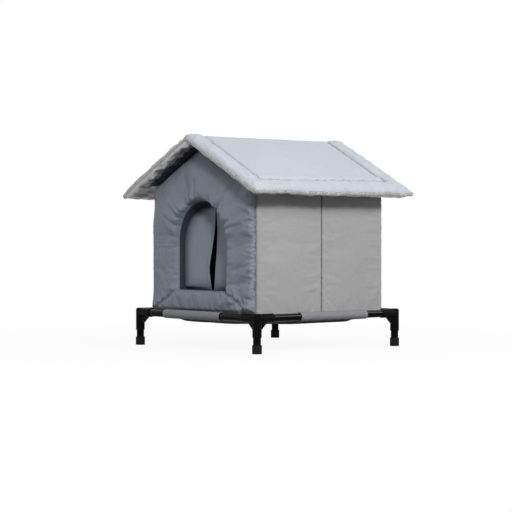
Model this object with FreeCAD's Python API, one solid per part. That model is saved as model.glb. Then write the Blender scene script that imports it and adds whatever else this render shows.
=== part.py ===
"""Raised outdoor pet house: a padded gable house of cloth standing on a cot of tubes."""
import FreeCAD
import Part
import math
import os

os.makedirs("parts", exist_ok=True)
Vec = FreeCAD.Vector

# All lengths are in millimetres. -Y is the door side, +X its right, +Z up, z = 0 the ground.
# The origin is on the ground, midway between the four legs.

# Cot frame
leg_spacing_x = 440.0       # between leg axes, left to right
leg_spacing_y = 440.0       # between leg axes, front to rear
rail_axis_height = 80.0
tube_diameter = 18.0
tube_wall = 1.0
socket_gap = 0.15           # round a tube, inside a socket or a foot
socket_wall = 1.6
socket_reach = 46.0         # leg axis to the mouth of a rail socket
socket_grip = 30.0          # length of rail held in a socket
leg_socket_drop = 43.0      # rail axis to the mouth of the leg socket
leg_socket_grip = 26.0
corner_bevel = 3.5          # flat bevel over the outer corner of a fitting
gusset_reach = 16.0         # along the rail socket
gusset_drop = 15.0          # along the leg socket
gusset_thickness = 8.0
foot_diameter = 22.4
foot_height = 20.0
foot_floor = 5.0            # rubber under the end of the leg

# Sling cloth of the cot
sling_thickness = 1.2
sleeve_gap = 0.15           # between a rail and the sleeve round it
sleeve_length = 212.0
sleeve_shift_x = -11.0      # the cloth sits a little off the middle of the frame
sleeve_shift_y = 14.0
sleeve_tail = 20.0          # sewn flap of a sleeve, measured in from the rail axis
sling_edge_inset = 4.0      # rail axis to the edge of the sling
sling_lap = 16.0            # flat margin of the sling under the sleeve flaps
sling_slope = 40.0          # sloping margin inside it
sling_sag = 4.0

# House walls
seat_gap = 0.3              # between pieces that lift apart
fit_gap = 0.15              # between a board and the pocket that holds it
rail_gap_front = 1.65       # crown of the front pad to the front sleeve
rail_gap_rear = 3.15
rail_gap_side = 17.65
wall_height = 311.0         # side walls
wall_thickness = 16.0
wall_edge = 10.0            # thickness at the sewn edges of a wall
wall_taper = 9.0            # width over which a wall thins to its edges
wall_skin = 1.6             # cloth and wadding over a board
board_margin = 10.0         # edge of a wall or floor panel to its board
floor_thickness = 10.0
floor_edge = 6.0

# Front wall and its door opening
pad_crown = 15.0            # thickness of the stuffed front pad
pad_crown_width = 34.0      # from its outer edge to its full thickness
pad_roll_width = 24.0       # from the door edge to its full thickness
front_board_thickness = 25.0
lining_thickness = 1.0
mitre_inset = 4.0           # corner of the sill to the seam beside it
mitre_rise = 12.0           # corner of the wall to the end of that seam
door_width = 184.0
door_sill_rise = 67.0       # underside of the walls to the sill
door_height = 211.0         # sill to the top of the arch

# Door flaps
flap_thickness = 2.0
flap_gap = 0.4              # behind the lining
flap_overlap = 12.0         # behind the edge of the opening
flap_margin = 10.0          # flat side margin of a flap, inside the opening
flap_hinge_drop = 14.0      # top of the arch to the hinge line
flap_hinge_gap = 0.3

# Roof
roof_pitch_deg = 27.5
roof_thickness = 18.0
roof_edge = 7.0             # thickness at the bound edges
roof_edge_taper = 16.0
eave_overhang = 59.0        # beyond the side walls
gable_overhang = 31.5       # beyond the leg axes
ridge_rounding = 12.0
quilt_border = 52.0         # edge of the roof to the quilting lines
quilt_groove = 3.0
roof_board_thickness = 10.0
roof_board_margin = 60.0    # edge of the roof to a board
roof_board_ridge_margin = 16.0
binding_thickness = 1.2
tape_thickness = 1.5        # each half of the hook and loop tape
tape_length = 150.0
tape_width = 13.0
tape_ridge_margin = 24.0

cut_overrun = 5.0

# Shares of the width and of the thickness of a rounded edge
crown_width_shares = (0.0, 0.08, 0.28, 0.6, 1.0)
crown_height_shares = (0.0, 0.39, 0.694, 0.917, 1.0)

# Free edges of the door flaps, their bellies and their curled edges, from the bottom up, as
# shares of the flap's height, of half the door's width and of the front board's depth
flap_height_shares = (0.0, 0.075, 0.3, 0.52, 0.75, 1.0)
left_edge_shares = (-0.035, -0.045, -0.075, -0.005, 0.07, 0.088)
right_edge_shares = (0.035, 0.035, 0.035, 0.075, 0.12, 0.1)
left_belly_shares = (0.02, 0.02, -0.17, -0.2, 0.012, 0.012)
left_curl_shares = (0.0, 0.0, -0.1, -0.06, 0.0, 0.0)
right_belly_shares = (0.02, 0.02, 0.06, 0.08, 0.04, 0.012)
right_curl_shares = (0.0, 0.08, 0.2, 0.24, 0.12, 0.0)

# Derived sizes
tube_radius = tube_diameter / 2
socket_bore_radius = tube_radius + socket_gap
socket_radius = socket_bore_radius + socket_wall
sleeve_bore_radius = tube_radius + sleeve_gap
sleeve_radius = sleeve_bore_radius + sling_thickness
half_x = leg_spacing_x / 2
half_y = leg_spacing_y / 2
sling_top = rail_axis_height - sleeve_radius
house_bottom = sling_top + sling_thickness + seat_gap
wall_top = house_bottom + wall_height
house_half = half_x - sleeve_radius - rail_gap_side
pad_front = -(half_y - sleeve_radius - rail_gap_front)
seam_front = pad_front + pad_crown
house_rear = half_y - sleeve_radius - rail_gap_rear
seam_middle = (seam_front + house_rear) / 2
inner_half = house_half - wall_thickness
board_back = seam_front + front_board_thickness
lining_back = board_back + lining_thickness
pitch = math.radians(roof_pitch_deg)
roof_gap = 2 * tape_thickness + seat_gap
ridge_under = wall_top + roof_gap / math.cos(pitch) + house_half * math.tan(pitch)
roof_half = house_half + eave_overhang
roof_half_length = half_y + gable_overhang
roof_middle = roof_thickness / 2
eave_run = (roof_half - binding_thickness - roof_middle * math.sin(pitch)) / math.cos(pitch)
roof_body_half_length = roof_half_length - binding_thickness
door_half = door_width / 2
door_sill = house_bottom + door_sill_rise
door_top = door_sill + door_height
door_spring = door_top - door_half
flap_front = lining_back + flap_gap
flap_axis_y = flap_front + flap_thickness / 2
flap_axis_z = door_top - flap_hinge_drop
flap_bottom = door_sill - flap_overlap


def save(shape, name):
    """Write one node, as a solid or as several solids."""
    solids = shape.Solids
    whole = solids[0] if len(solids) == 1 else Part.makeCompound(solids)
    whole.exportStep("parts/" + name + ".step")


def box(low, high):
    size = high - low
    return Part.makeBox(size.x, size.y, size.z, low)


def rod(radius, start, end):
    return Part.makeCylinder(radius, (end - start).Length, start, end - start)


def pipe(radius, wall, start, end):
    return rod(radius, start, end).cut(rod(radius - wall, start, end))


def mirrored(shape):
    """Left-hand copy of a right-hand piece."""
    return shape.mirror(Vec(0, 0, 0), Vec(1, 0, 0))


def upright(points, y):
    """Closed outline in the plane at y, from (x, z) points."""
    corners = [Vec(x, y, z) for x, z in points]
    return Part.makePolygon(corners + corners[:1])


def level(points, z):
    """Closed outline in the plane at z, from (x, y) points."""
    corners = [Vec(x, y, z) for x, y in points]
    return Part.makePolygon(corners + corners[:1])


def prism(points, y_from, y_to):
    return Part.Face(upright(points, y_from)).extrude(Vec(0, y_to - y_from, 0))


def inset(points, distance):
    """Move every side of a counter-clockwise outline inwards."""
    sides = []
    for (ax, ay), (bx, by) in zip(points, points[1:] + points[:1]):
        length = math.hypot(bx - ax, by - ay)
        sides.append(((bx - ax) / length, (by - ay) / length, ax, ay))
    moved = []
    for first, second in zip(sides[-1:] + sides[:-1], sides):
        ux, uy, ax, ay = first
        vx, vy, bx, by = second
        ax, ay = ax - uy * distance, ay + ux * distance
        bx, by = bx - vy * distance, by + vx * distance
        along = ((bx - ax) * vy - (by - ay) * vx) / (ux * vy - uy * vx)
        moved.append((ax + along * ux, ay + along * uy))
    return moved


def sideways(points, x):
    """Closed outline in the plane at x, from (y, z) points."""
    corners = [Vec(x, y, z) for y, z in points]
    return Part.makePolygon(corners + corners[:1])


def pillow(points, plane, low, high, edge):
    """Padded panel between two planes, thinning towards its sewn edges."""
    middle = (low + high) / 2
    swell = (high - low - edge) / 2
    shares = list(zip(crown_width_shares, crown_height_shares))
    sections = []
    for width_share, height_share in shares[::-1]:
        depth = middle - edge / 2 - swell * height_share
        sections.append(plane(inset(points, wall_taper * width_share), depth))
    for width_share, height_share in shares:
        depth = middle + edge / 2 + swell * height_share
        sections.append(plane(inset(points, wall_taper * width_share), depth))
    return Part.makeLoft(sections, True, True)


def hopper(rim, rim_z, base, base_z):
    """Solid with a level rim, a level base and flat sloping sides."""
    rim_corners = [Vec(x, y, rim_z) for x, y in rim]
    base_corners = [Vec(x, y, base_z) for x, y in base]
    faces = [Part.Face(level(rim, rim_z)), Part.Face(level(base, base_z))]
    for first, second in zip(range(-1, len(rim) - 1), range(len(rim))):
        side = [rim_corners[first], rim_corners[second], base_corners[second], base_corners[first]]
        faces.append(Part.Face(Part.makePolygon(side + side[:1])))
    return Part.makeSolid(Part.makeShell(faces))


# Cot frame: rails, legs, corner fittings and feet
rail_end = socket_reach - socket_grip
leg_top = rail_axis_height - leg_socket_drop + leg_socket_grip


def make_rail(along_x, side):
    if along_x:
        start = Vec(rail_end - half_x, side * half_y, rail_axis_height)
        end = Vec(half_x - rail_end, side * half_y, rail_axis_height)
    else:
        start = Vec(side * half_x, rail_end - half_y, rail_axis_height)
        end = Vec(side * half_x, half_y - rail_end, rail_axis_height)
    return pipe(tube_radius, tube_wall, start, end)


def make_gusset():
    """Web between a rail socket along +X and the leg socket."""
    tip = socket_radius + gusset_reach
    low = -socket_radius - gusset_drop
    outline = [(0, 0), (0, low), (socket_radius, low), (tip, -socket_radius), (tip, 0)]
    return prism(outline, -gusset_thickness / 2, gusset_thickness / 2)


def make_bevel():
    """Wedge that takes off the top of the outer corner, facing away from +X and +Y."""
    start = socket_radius - corner_bevel - cut_overrun
    end = socket_radius + cut_overrun
    wedge = prism([(start, end), (end, start), (end, end)], -end, end)
    wedge.rotate(Vec(0, 0, 0), Vec(0, 0, 1), 225)
    return wedge


def make_corner():
    """Fitting with sockets towards +X, +Y and -Z from a corner at the origin."""
    centre = Vec(0, 0, 0)
    web_x = make_gusset()
    web_y = web_x.copy()
    web_y.rotate(centre, Vec(0, 0, 1), 90)
    body = rod(socket_radius, centre, Vec(socket_reach, 0, 0)).multiFuse([
        rod(socket_radius, centre, Vec(0, socket_reach, 0)),
        rod(socket_radius, Vec(0, 0, socket_radius), Vec(0, 0, -leg_socket_drop)),
        web_x,
        web_y,
    ])
    mouth = socket_reach + cut_overrun
    leg_mouth = -leg_socket_drop - cut_overrun
    leg_stop = leg_socket_grip - leg_socket_drop
    cuts = [
        rod(socket_bore_radius, Vec(rail_end, 0, 0), Vec(mouth, 0, 0)),
        rod(socket_bore_radius, Vec(0, rail_end, 0), Vec(0, mouth, 0)),
        rod(socket_bore_radius, Vec(0, 0, leg_stop), Vec(0, 0, leg_mouth)),
        make_bevel(),
    ]
    return body.cut(Part.makeCompound(cuts)).removeSplitter()


def make_foot():
    """Rubber cap on the end of a leg."""
    bore = rod(tube_radius + socket_gap, Vec(0, 0, foot_floor), Vec(0, 0, foot_height + cut_overrun))
    return rod(foot_diameter / 2, Vec(0, 0, 0), Vec(0, 0, foot_height)).cut(bore)


save(make_rail(True, -1), "rail_front")
save(make_rail(True, 1), "rail_rear")
save(make_rail(False, -1), "rail_left")
save(make_rail(False, 1), "rail_right")

corner_turns = {
    "front_left": (-1, -1, 0),
    "front_right": (1, -1, 90),
    "rear_right": (1, 1, 180),
    "rear_left": (-1, 1, 270),
}
corner_fitting = make_corner()
foot_cap = make_foot()
for corner_name, (side_x, side_y, turn_deg) in corner_turns.items():
    leg_x = side_x * half_x
    leg_y = side_y * half_y
    fitting = corner_fitting.copy()
    fitting.rotate(Vec(0, 0, 0), Vec(0, 0, 1), turn_deg)
    fitting.translate(Vec(leg_x, leg_y, rail_axis_height))
    save(fitting, "corner_" + corner_name)
    leg = rod(tube_radius, Vec(leg_x, leg_y, foot_floor), Vec(leg_x, leg_y, leg_top))
    save(leg, "leg_" + corner_name)
    foot = foot_cap.copy()
    foot.translate(Vec(leg_x, leg_y, 0))
    save(foot, "foot_" + corner_name)


# Sling cloth and its sleeves
def make_sleeve():
    """Sleeve about the X axis with its sewn flap towards +Y."""
    leave = math.sqrt(sleeve_radius ** 2 - sleeve_bore_radius ** 2)
    bottom = Vec(0, 0, -sleeve_radius)
    flap_end_low = Vec(0, sleeve_tail, -sleeve_radius)
    flap_end_high = Vec(0, sleeve_tail, -sleeve_bore_radius)
    ring_start = Vec(0, leave, -sleeve_bore_radius)
    top = Vec(0, 0, sleeve_radius)
    outline = [
        Part.makeLine(bottom, flap_end_low),
        Part.makeLine(flap_end_low, flap_end_high),
        Part.makeLine(flap_end_high, ring_start),
        Part.Arc(ring_start, Vec(0, sleeve_radius, 0), top).toShape(),
        Part.Arc(top, Vec(0, -sleeve_radius, 0), bottom).toShape(),
    ]
    whole = Part.Face(Part.Wire(outline)).extrude(Vec(sleeve_length, 0, 0))
    hole = rod(sleeve_bore_radius, Vec(-cut_overrun, 0, 0), Vec(sleeve_length + cut_overrun, 0, 0))
    sleeve = whole.cut(hole)
    sleeve.translate(Vec(-sleeve_length / 2, 0, 0))
    return sleeve


def save_sleeve(rail_name, quarter_turns, place):
    sleeve = make_sleeve()
    sleeve.rotate(Vec(0, 0, 0), Vec(0, 0, 1), quarter_turns * 90)
    sleeve.translate(place)
    save(sleeve, "sling_sleeve_" + rail_name)


save_sleeve("front", 0, Vec(sleeve_shift_x, -half_y, rail_axis_height))
save_sleeve("right", 1, Vec(half_x, sleeve_shift_y, rail_axis_height))
save_sleeve("rear", 2, Vec(sleeve_shift_x, half_y, rail_axis_height))
save_sleeve("left", 3, Vec(-half_x, sleeve_shift_y, rail_axis_height))

sling_x = half_x - sling_edge_inset
sling_y = half_y - sling_edge_inset
sleeve_half = sleeve_length / 2
sling_outline = [
    (sleeve_shift_x - sleeve_half, -sling_y),
    (sleeve_shift_x + sleeve_half, -sling_y),
    (sling_x, sleeve_shift_y - sleeve_half),
    (sling_x, sleeve_shift_y + sleeve_half),
    (sleeve_shift_x + sleeve_half, sling_y),
    (sleeve_shift_x - sleeve_half, sling_y),
    (-sling_x, sleeve_shift_y + sleeve_half),
    (-sling_x, sleeve_shift_y - sleeve_half),
]
sling_flat = inset(sling_outline, sling_lap)
sling_floor = inset(sling_flat, sling_slope)
sling_under = sling_top - sling_thickness
sling_rim = Part.Face(level(sling_outline, sling_under)).extrude(Vec(0, 0, sling_thickness))
sling_belly = hopper(sling_flat, sling_under, sling_floor, sling_under - sling_sag)
sling_hollow = hopper(sling_flat, sling_top, sling_floor, sling_top - sling_sag)
save(sling_rim.fuse(sling_belly).cut(sling_hollow).removeSplitter(), "sling_cloth")


# House walls
def under_roof(x):
    """Height of the top of the gable walls at x."""
    return ridge_under - roof_gap / math.cos(pitch) - abs(x) * math.tan(pitch)


def gable_outline(half):
    return [
        (-half, house_bottom),
        (half, house_bottom),
        (half, under_roof(half)),
        (0, under_roof(0)),
        (-half, under_roof(half)),
    ]


def door_outline(spread, y):
    """Arched outline in the plane at y, wider than the door opening by spread all round."""
    half = door_half + spread
    diagonal = half * math.sin(math.pi / 4)
    low_left = Vec(-half, y, door_sill - spread)
    low_right = Vec(half, y, door_sill - spread)
    high_left = Vec(-half, y, door_spring)
    high_right = Vec(half, y, door_spring)
    crown = Vec(0, y, door_spring + half)
    bend_right = Vec(diagonal, y, door_spring + diagonal)
    bend_left = Vec(-diagonal, y, door_spring + diagonal)
    return Part.Wire([
        Part.makeLine(low_left, low_right),
        Part.makeLine(low_right, high_right),
        Part.Arc(high_right, bend_right, crown).toShape(),
        Part.Arc(crown, bend_left, high_left).toShape(),
        Part.makeLine(high_left, low_left),
    ])


def door_hole(y_from, y_to):
    return Part.Face(door_outline(0, y_from)).extrude(Vec(0, y_to - y_from, 0))


front_outline = gable_outline(house_half)
pad_sections = []
roll_sections = []
for width_share, height_share in zip(crown_width_shares, crown_height_shares):
    height_y = seam_front - pad_crown * height_share
    pad_sections.append(upright(inset(front_outline, pad_crown_width * width_share), height_y))
    roll_sections.append(door_outline(pad_roll_width * width_share, height_y))
pad_dome = Part.makeLoft(pad_sections, True, True)
pad_roll = Part.makeLoft(roll_sections, True, True)
front_pad = pad_dome.cut(pad_roll).removeSplitter()
mitre_low = house_bottom + mitre_rise
mitre_high = door_half - mitre_inset
mitre_spread = (house_half - mitre_high) / (door_sill - mitre_low)
sill_outline = [
    (-house_half - cut_overrun * mitre_spread, house_bottom - cut_overrun),
    (house_half + cut_overrun * mitre_spread, house_bottom - cut_overrun),
    (house_half + cut_overrun * mitre_spread, mitre_low - cut_overrun),
    (mitre_high - cut_overrun * mitre_spread, door_sill + cut_overrun),
    (cut_overrun * mitre_spread - mitre_high, door_sill + cut_overrun),
    (-house_half - cut_overrun * mitre_spread, mitre_low - cut_overrun),
]
sill_block = prism(sill_outline, pad_front - cut_overrun, seam_front + cut_overrun)
save(front_pad.cut(sill_block), "front_arch_pad")
save(front_pad.common(sill_block), "front_sill_pad")

front_hole = door_hole(seam_front - cut_overrun, lining_back + cut_overrun)
board_outline = gable_outline(inner_half - fit_gap)
save(prism(board_outline, seam_front, board_back).cut(front_hole), "front_board")
save(prism(board_outline, board_back, lining_back).cut(front_hole), "front_lining")

wall_panels = {
    "front": (seam_front, seam_middle),
    "rear": (seam_middle, house_rear),
}
board_out = house_half - wall_skin
board_in = inner_half + wall_skin
for panel_name, (panel_from, panel_to) in wall_panels.items():
    panel_outline = [
        (panel_from, house_bottom),
        (panel_to, house_bottom),
        (panel_to, wall_top),
        (panel_from, wall_top),
    ]
    panel = pillow(panel_outline, sideways, inner_half, house_half, wall_edge)
    pocket_low = Vec(board_in, panel_from + board_margin, house_bottom + board_margin)
    pocket_high = Vec(board_out, panel_to - board_margin, wall_top - board_margin)
    clear = Vec(fit_gap, fit_gap, fit_gap)
    cover = panel.cut(box(pocket_low, pocket_high))
    board = box(pocket_low + clear, pocket_high - clear)
    save(cover, "right_wall_" + panel_name + "_cover")
    save(board, "right_wall_" + panel_name + "_board")
    save(mirrored(cover), "left_wall_" + panel_name + "_cover")
    save(mirrored(board), "left_wall_" + panel_name + "_board")

rear_from = house_rear - wall_thickness
rear_outline = gable_outline(inner_half - fit_gap)
rear_pocket = inset(rear_outline, board_margin)
rear_panel = pillow(rear_outline, upright, rear_from, house_rear, wall_edge)
rear_cavity = prism(rear_pocket, rear_from + wall_skin, house_rear - wall_skin)
rear_board_from = rear_from + wall_skin + fit_gap
rear_board_to = house_rear - wall_skin - fit_gap
save(rear_panel.cut(rear_cavity), "rear_wall_cover")
save(prism(inset(rear_pocket, fit_gap), rear_board_from, rear_board_to), "rear_wall_board")

floor_half = inner_half - fit_gap
floor_from = lining_back + fit_gap
floor_to = rear_from - fit_gap
floor_top = house_bottom + floor_thickness
floor_outline = [
    (-floor_half, floor_from),
    (floor_half, floor_from),
    (floor_half, floor_to),
    (-floor_half, floor_to),
]
floor_panel = pillow(floor_outline, level, house_bottom, floor_top, floor_edge)
floor_pocket_low = Vec(board_margin - floor_half, floor_from + board_margin, house_bottom + wall_skin)
floor_pocket_high = Vec(floor_half - board_margin, floor_to - board_margin, floor_top - wall_skin)
floor_clear = Vec(fit_gap, fit_gap, fit_gap)
save(floor_panel.cut(box(floor_pocket_low, floor_pocket_high)), "floor_cover")
save(box(floor_pocket_low + floor_clear, floor_pocket_high - floor_clear), "floor_board")


# Door flaps, hanging from a header sewn inside the arch
def make_flap(edge_shares, belly_shares, curl_shares, side):
    """Hanging cloth with a free edge, a belly and a curl, rounded along its hinge line."""
    depth = front_board_thickness
    outer_x = side * (door_half + flap_overlap)
    flat_x = side * (door_half - flap_margin)
    height = flap_axis_z - flap_bottom
    sections = []
    for rise, edge, belly, curl in zip(flap_height_shares, edge_shares, belly_shares, curl_shares):
        z = flap_bottom + rise * height
        free_x = edge * door_half
        hang_y = flap_front
        start = Vec(outer_x, hang_y, z)
        bend = Vec(flat_x, hang_y, z)
        middle = Vec((flat_x + free_x) / 2, hang_y + belly * depth, z)
        end = Vec(free_x, hang_y + curl * depth, z)
        back = Vec(0, flap_thickness, 0)
        sections.append(Part.Wire([
            Part.makeLine(start, bend),
            Part.Arc(bend, middle, end).toShape(),
            Part.makeLine(end, end + back),
            Part.Arc(end + back, middle + back, bend + back).toShape(),
            Part.makeLine(bend + back, start + back),
            Part.makeLine(start + back, start),
        ]))
    sheet = Part.makeLoft(sections, True, True)
    hinge_end = Vec(outer_x, flap_axis_y, flap_axis_z)
    free_end = Vec(edge_shares[-1] * door_half, flap_axis_y, flap_axis_z)
    hem = rod(flap_thickness / 2, hinge_end, free_end)
    reach_y = front_board_thickness
    arch = Part.Face(door_outline(flap_overlap, flap_front - reach_y)).extrude(
        Vec(0, 2 * reach_y, 0)
    )
    return sheet.fuse(hem).common(arch).removeSplitter()


save(make_flap(left_edge_shares, left_belly_shares, left_curl_shares, -1), "left_flap")
save(make_flap(right_edge_shares, right_belly_shares, right_curl_shares, 1), "right_flap")

header_low = flap_axis_z + flap_thickness / 2 + flap_hinge_gap
header_half = door_half + flap_overlap
header_arch = Part.Face(door_outline(flap_overlap, lining_back)).extrude(Vec(0, flap_thickness, 0))
header_top = door_spring + header_half + cut_overrun
header_band = box(
    Vec(-header_half, lining_back - cut_overrun, header_low),
    Vec(header_half, lining_back + flap_thickness + cut_overrun, header_top),
)
save(header_arch.common(header_band), "flap_header")


# Roof
def roof_point(run, height):
    """Point of the right slope: run down its underside from the ridge, height above it."""
    x = run * math.cos(pitch) + height * math.sin(pitch)
    z = ridge_under - run * math.sin(pitch) + height * math.cos(pitch)
    return x, z


def roof_outline(thickness, y):
    """Outline of the whole roof in the plane at y, with rounded eaves and ridge."""
    swell = (thickness - roof_edge) / 2
    top_side = []
    under_side = []
    for width_share, height_share in zip(crown_width_shares, crown_height_shares):
        run = eave_run - roof_edge_taper * width_share
        rise = roof_edge / 2 + swell * height_share
        top_side.append(roof_point(run, roof_middle + rise))
        under_side.append(roof_point(run, roof_middle - rise))
    top = roof_middle + thickness / 2
    under = roof_middle - thickness / 2
    top_side.append(roof_point(ridge_rounding - top * math.tan(pitch), top))
    under_ridge = roof_point(-under * math.tan(pitch), under)
    right = [Vec(x, y, z) for x, z in [under_ridge] + under_side[::-1] + top_side]
    left = [Vec(-point.x, point.y, point.z) for point in right[::-1]]
    arc_rise = ridge_rounding * math.cos(pitch) * (1 - math.cos(pitch)) / math.sin(pitch)
    crest = Vec(0, y, right[-1].z + arc_rise)
    edges = [Part.makeLine(a, b) for a, b in zip(right, right[1:])]
    edges.append(Part.Arc(right[-1], crest, left[0]).toShape())
    edges += [Part.makeLine(a, b) for a, b in zip(left, left[1:])]
    return Part.Wire(edges)


def slope_box(run_from, run_to, y_from, y_to, height_from, height_to):
    """Box lying in the right slope."""
    low = Vec(run_from, y_from, height_from)
    solid = box(low, Vec(run_to, y_to, height_to))
    solid.rotate(Vec(0, 0, 0), Vec(0, 1, 0), roof_pitch_deg)
    solid.translate(Vec(0, 0, ridge_under))
    return solid


def slope_line(run, y, height):
    x, z = roof_point(run, height)
    return Vec(x, y, z)


roof_straight = roof_body_half_length - roof_edge_taper
roof_parts = [
    Part.Face(roof_outline(roof_thickness, -roof_straight)).extrude(Vec(0, 2 * roof_straight, 0))
]
for side in (-1, 1):
    roof_sections = []
    for width_share, height_share in zip(crown_width_shares, crown_height_shares):
        end_y = side * (roof_body_half_length - roof_edge_taper * width_share)
        thickness = roof_edge + (roof_thickness - roof_edge) * height_share
        roof_sections.append(roof_outline(thickness, end_y))
    roof_parts.append(Part.makeLoft(roof_sections, True, True))

quilt_y = roof_half_length - quilt_border
quilt_run = eave_run - quilt_border
quilt_ridge = -roof_thickness * math.tan(pitch)
groove_lines = [
    (slope_line(quilt_ridge, -quilt_y, roof_thickness), slope_line(quilt_run, -quilt_y, roof_thickness)),
    (slope_line(quilt_ridge, quilt_y, roof_thickness), slope_line(quilt_run, quilt_y, roof_thickness)),
    (slope_line(quilt_run, -quilt_y, roof_thickness), slope_line(quilt_run, quilt_y, roof_thickness)),
]
roof_cuts = []
for groove_start, groove_end in groove_lines:
    groove = rod(quilt_groove, groove_start, groove_end)
    roof_cuts += [groove, mirrored(groove)]

board_run = (roof_board_ridge_margin, eave_run - roof_board_margin)
board_half_length = roof_half_length - roof_board_margin
board_low = roof_middle - roof_board_thickness / 2
board_high = roof_middle + roof_board_thickness / 2
roof_pocket = slope_box(
    board_run[0] - fit_gap, board_run[1] + fit_gap,
    -board_half_length - fit_gap, board_half_length + fit_gap,
    board_low - fit_gap, board_high + fit_gap,
)
roof_board = slope_box(
    board_run[0], board_run[1], -board_half_length, board_half_length, board_low, board_high
)
roof_cuts += [roof_pocket, mirrored(roof_pocket)]
roof_body = roof_parts[0].cut(Part.makeCompound(roof_cuts))
save(roof_body.multiFuse(roof_parts[1:]).removeSplitter(), "roof_cover")
save(roof_board, "roof_right_board")
save(mirrored(roof_board), "roof_left_board")

roof_end = Part.Face(roof_outline(roof_edge, -roof_half_length))
save(roof_end.extrude(Vec(0, binding_thickness, 0)), "roof_front_binding")
roof_end = Part.Face(roof_outline(roof_edge, roof_body_half_length))
save(roof_end.extrude(Vec(0, binding_thickness, 0)), "roof_rear_binding")
eave_binding = slope_box(
    eave_run, eave_run + binding_thickness, -roof_half_length, roof_half_length,
    roof_middle - roof_edge / 2, roof_middle + roof_edge / 2,
)
save(eave_binding, "roof_right_eave_binding")
save(mirrored(eave_binding), "roof_left_eave_binding")

tape_margin_front = (front_board_thickness - tape_width) / 2
tape_margin_rear = (wall_thickness - tape_width) / 2
tape_places = (seam_front + tape_margin_front, rear_from + tape_margin_rear)
tape_run = (tape_ridge_margin, tape_ridge_margin + tape_length)
hook_tapes = []
loop_tapes = []
for tape_y in tape_places:
    hook = slope_box(
        tape_run[0], tape_run[1], tape_y, tape_y + tape_width,
        -roof_gap, tape_thickness - roof_gap,
    )
    loop = slope_box(
        tape_run[0], tape_run[1], tape_y, tape_y + tape_width, -tape_thickness, 0
    )
    hook_tapes += [hook, mirrored(hook)]
    loop_tapes += [loop, mirrored(loop)]
save(Part.makeCompound(hook_tapes), "gable_hook_tapes")
save(Part.makeCompound(loop_tapes), "roof_loop_tapes")
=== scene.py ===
"""Looks of the raised outdoor pet house: cloth, padding, stitching, tubes and fittings."""
import math
import random
from types import SimpleNamespace

import bmesh
import bpy
import numpy as np
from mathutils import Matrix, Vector, noise
from mathutils.geometry import delaunay_2d_cdt


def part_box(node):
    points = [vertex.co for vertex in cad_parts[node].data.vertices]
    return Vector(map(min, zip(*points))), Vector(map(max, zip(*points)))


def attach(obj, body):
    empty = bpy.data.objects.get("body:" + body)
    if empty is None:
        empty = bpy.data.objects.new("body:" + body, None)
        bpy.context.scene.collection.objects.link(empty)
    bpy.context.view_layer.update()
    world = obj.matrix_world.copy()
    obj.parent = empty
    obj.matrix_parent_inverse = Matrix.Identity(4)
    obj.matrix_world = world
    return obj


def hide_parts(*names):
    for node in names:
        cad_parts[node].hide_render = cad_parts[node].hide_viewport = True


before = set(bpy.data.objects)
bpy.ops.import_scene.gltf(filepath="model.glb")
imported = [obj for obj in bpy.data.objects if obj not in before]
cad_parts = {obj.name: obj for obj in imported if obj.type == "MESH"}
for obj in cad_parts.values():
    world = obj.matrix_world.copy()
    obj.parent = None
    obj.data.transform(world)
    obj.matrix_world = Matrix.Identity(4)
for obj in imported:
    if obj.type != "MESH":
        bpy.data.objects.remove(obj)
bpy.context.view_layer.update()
scene = bpy.context.scene

# All lengths are in metres. -Y is the door side, +X its right, +Z up, z = 0 the ground.
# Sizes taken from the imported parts
pad_low, pad_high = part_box("front_arch_pad")
house_half = pad_high.x
sill_low, sill_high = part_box("front_sill_pad")
house_bottom = sill_low.z
gable_top = pad_high.z
seam_front = pad_high.y
pad_front = pad_low.y
wall_low, wall_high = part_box("right_wall_front_cover")
inner_half = wall_low.x
wall_top = wall_high.z
seam_middle = wall_high.y
rear_low, rear_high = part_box("rear_wall_cover")
floor_low, floor_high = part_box("floor_cover")
lining_low, lining_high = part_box("front_lining")
door_sill = sill_high.z
header_low, header_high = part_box("flap_header")
left_flap_low, left_flap_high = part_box("left_flap")
roof_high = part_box("roof_cover")[1]
eave_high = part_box("roof_right_eave_binding")[1]
sling_low, sling_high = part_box("sling_cloth")

# Sizes that the boxes do not give
door_half = 0.092
door_height = 0.211
flap_overlap = 0.012
flap_thickness = 0.002
wall_edge = 0.010
wall_taper = 0.009
floor_edge = 0.006
roof_pitch = math.radians(27.5)
roof_thickness = 0.018
roof_edge = 0.007
roof_edge_taper = 0.016
ridge_rounding = 0.012
quilt_border = 0.052
quilt_depth = 0.0085
quilt_pucker = 0.0050
tape_thickness = 0.0015
lift_gap = 0.0003
sling_thickness = 0.0012
sleeve_radius = 0.00975
sleeve_tail = 0.020
stitch_pitch = 0.0046
stitch_length = 0.0032
stitch_radius = 0.00042

# Worked out from them
door_spring = door_sill + door_height - door_half
gable_slope = math.tan(roof_pitch)
roof_gap = 2 * tape_thickness + lift_gap
ridge_under = gable_top + roof_gap / math.cos(roof_pitch)
roof_half_length = eave_high.y
roof_body_half_length = roof_high.y
roof_middle = roof_thickness / 2


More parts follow.
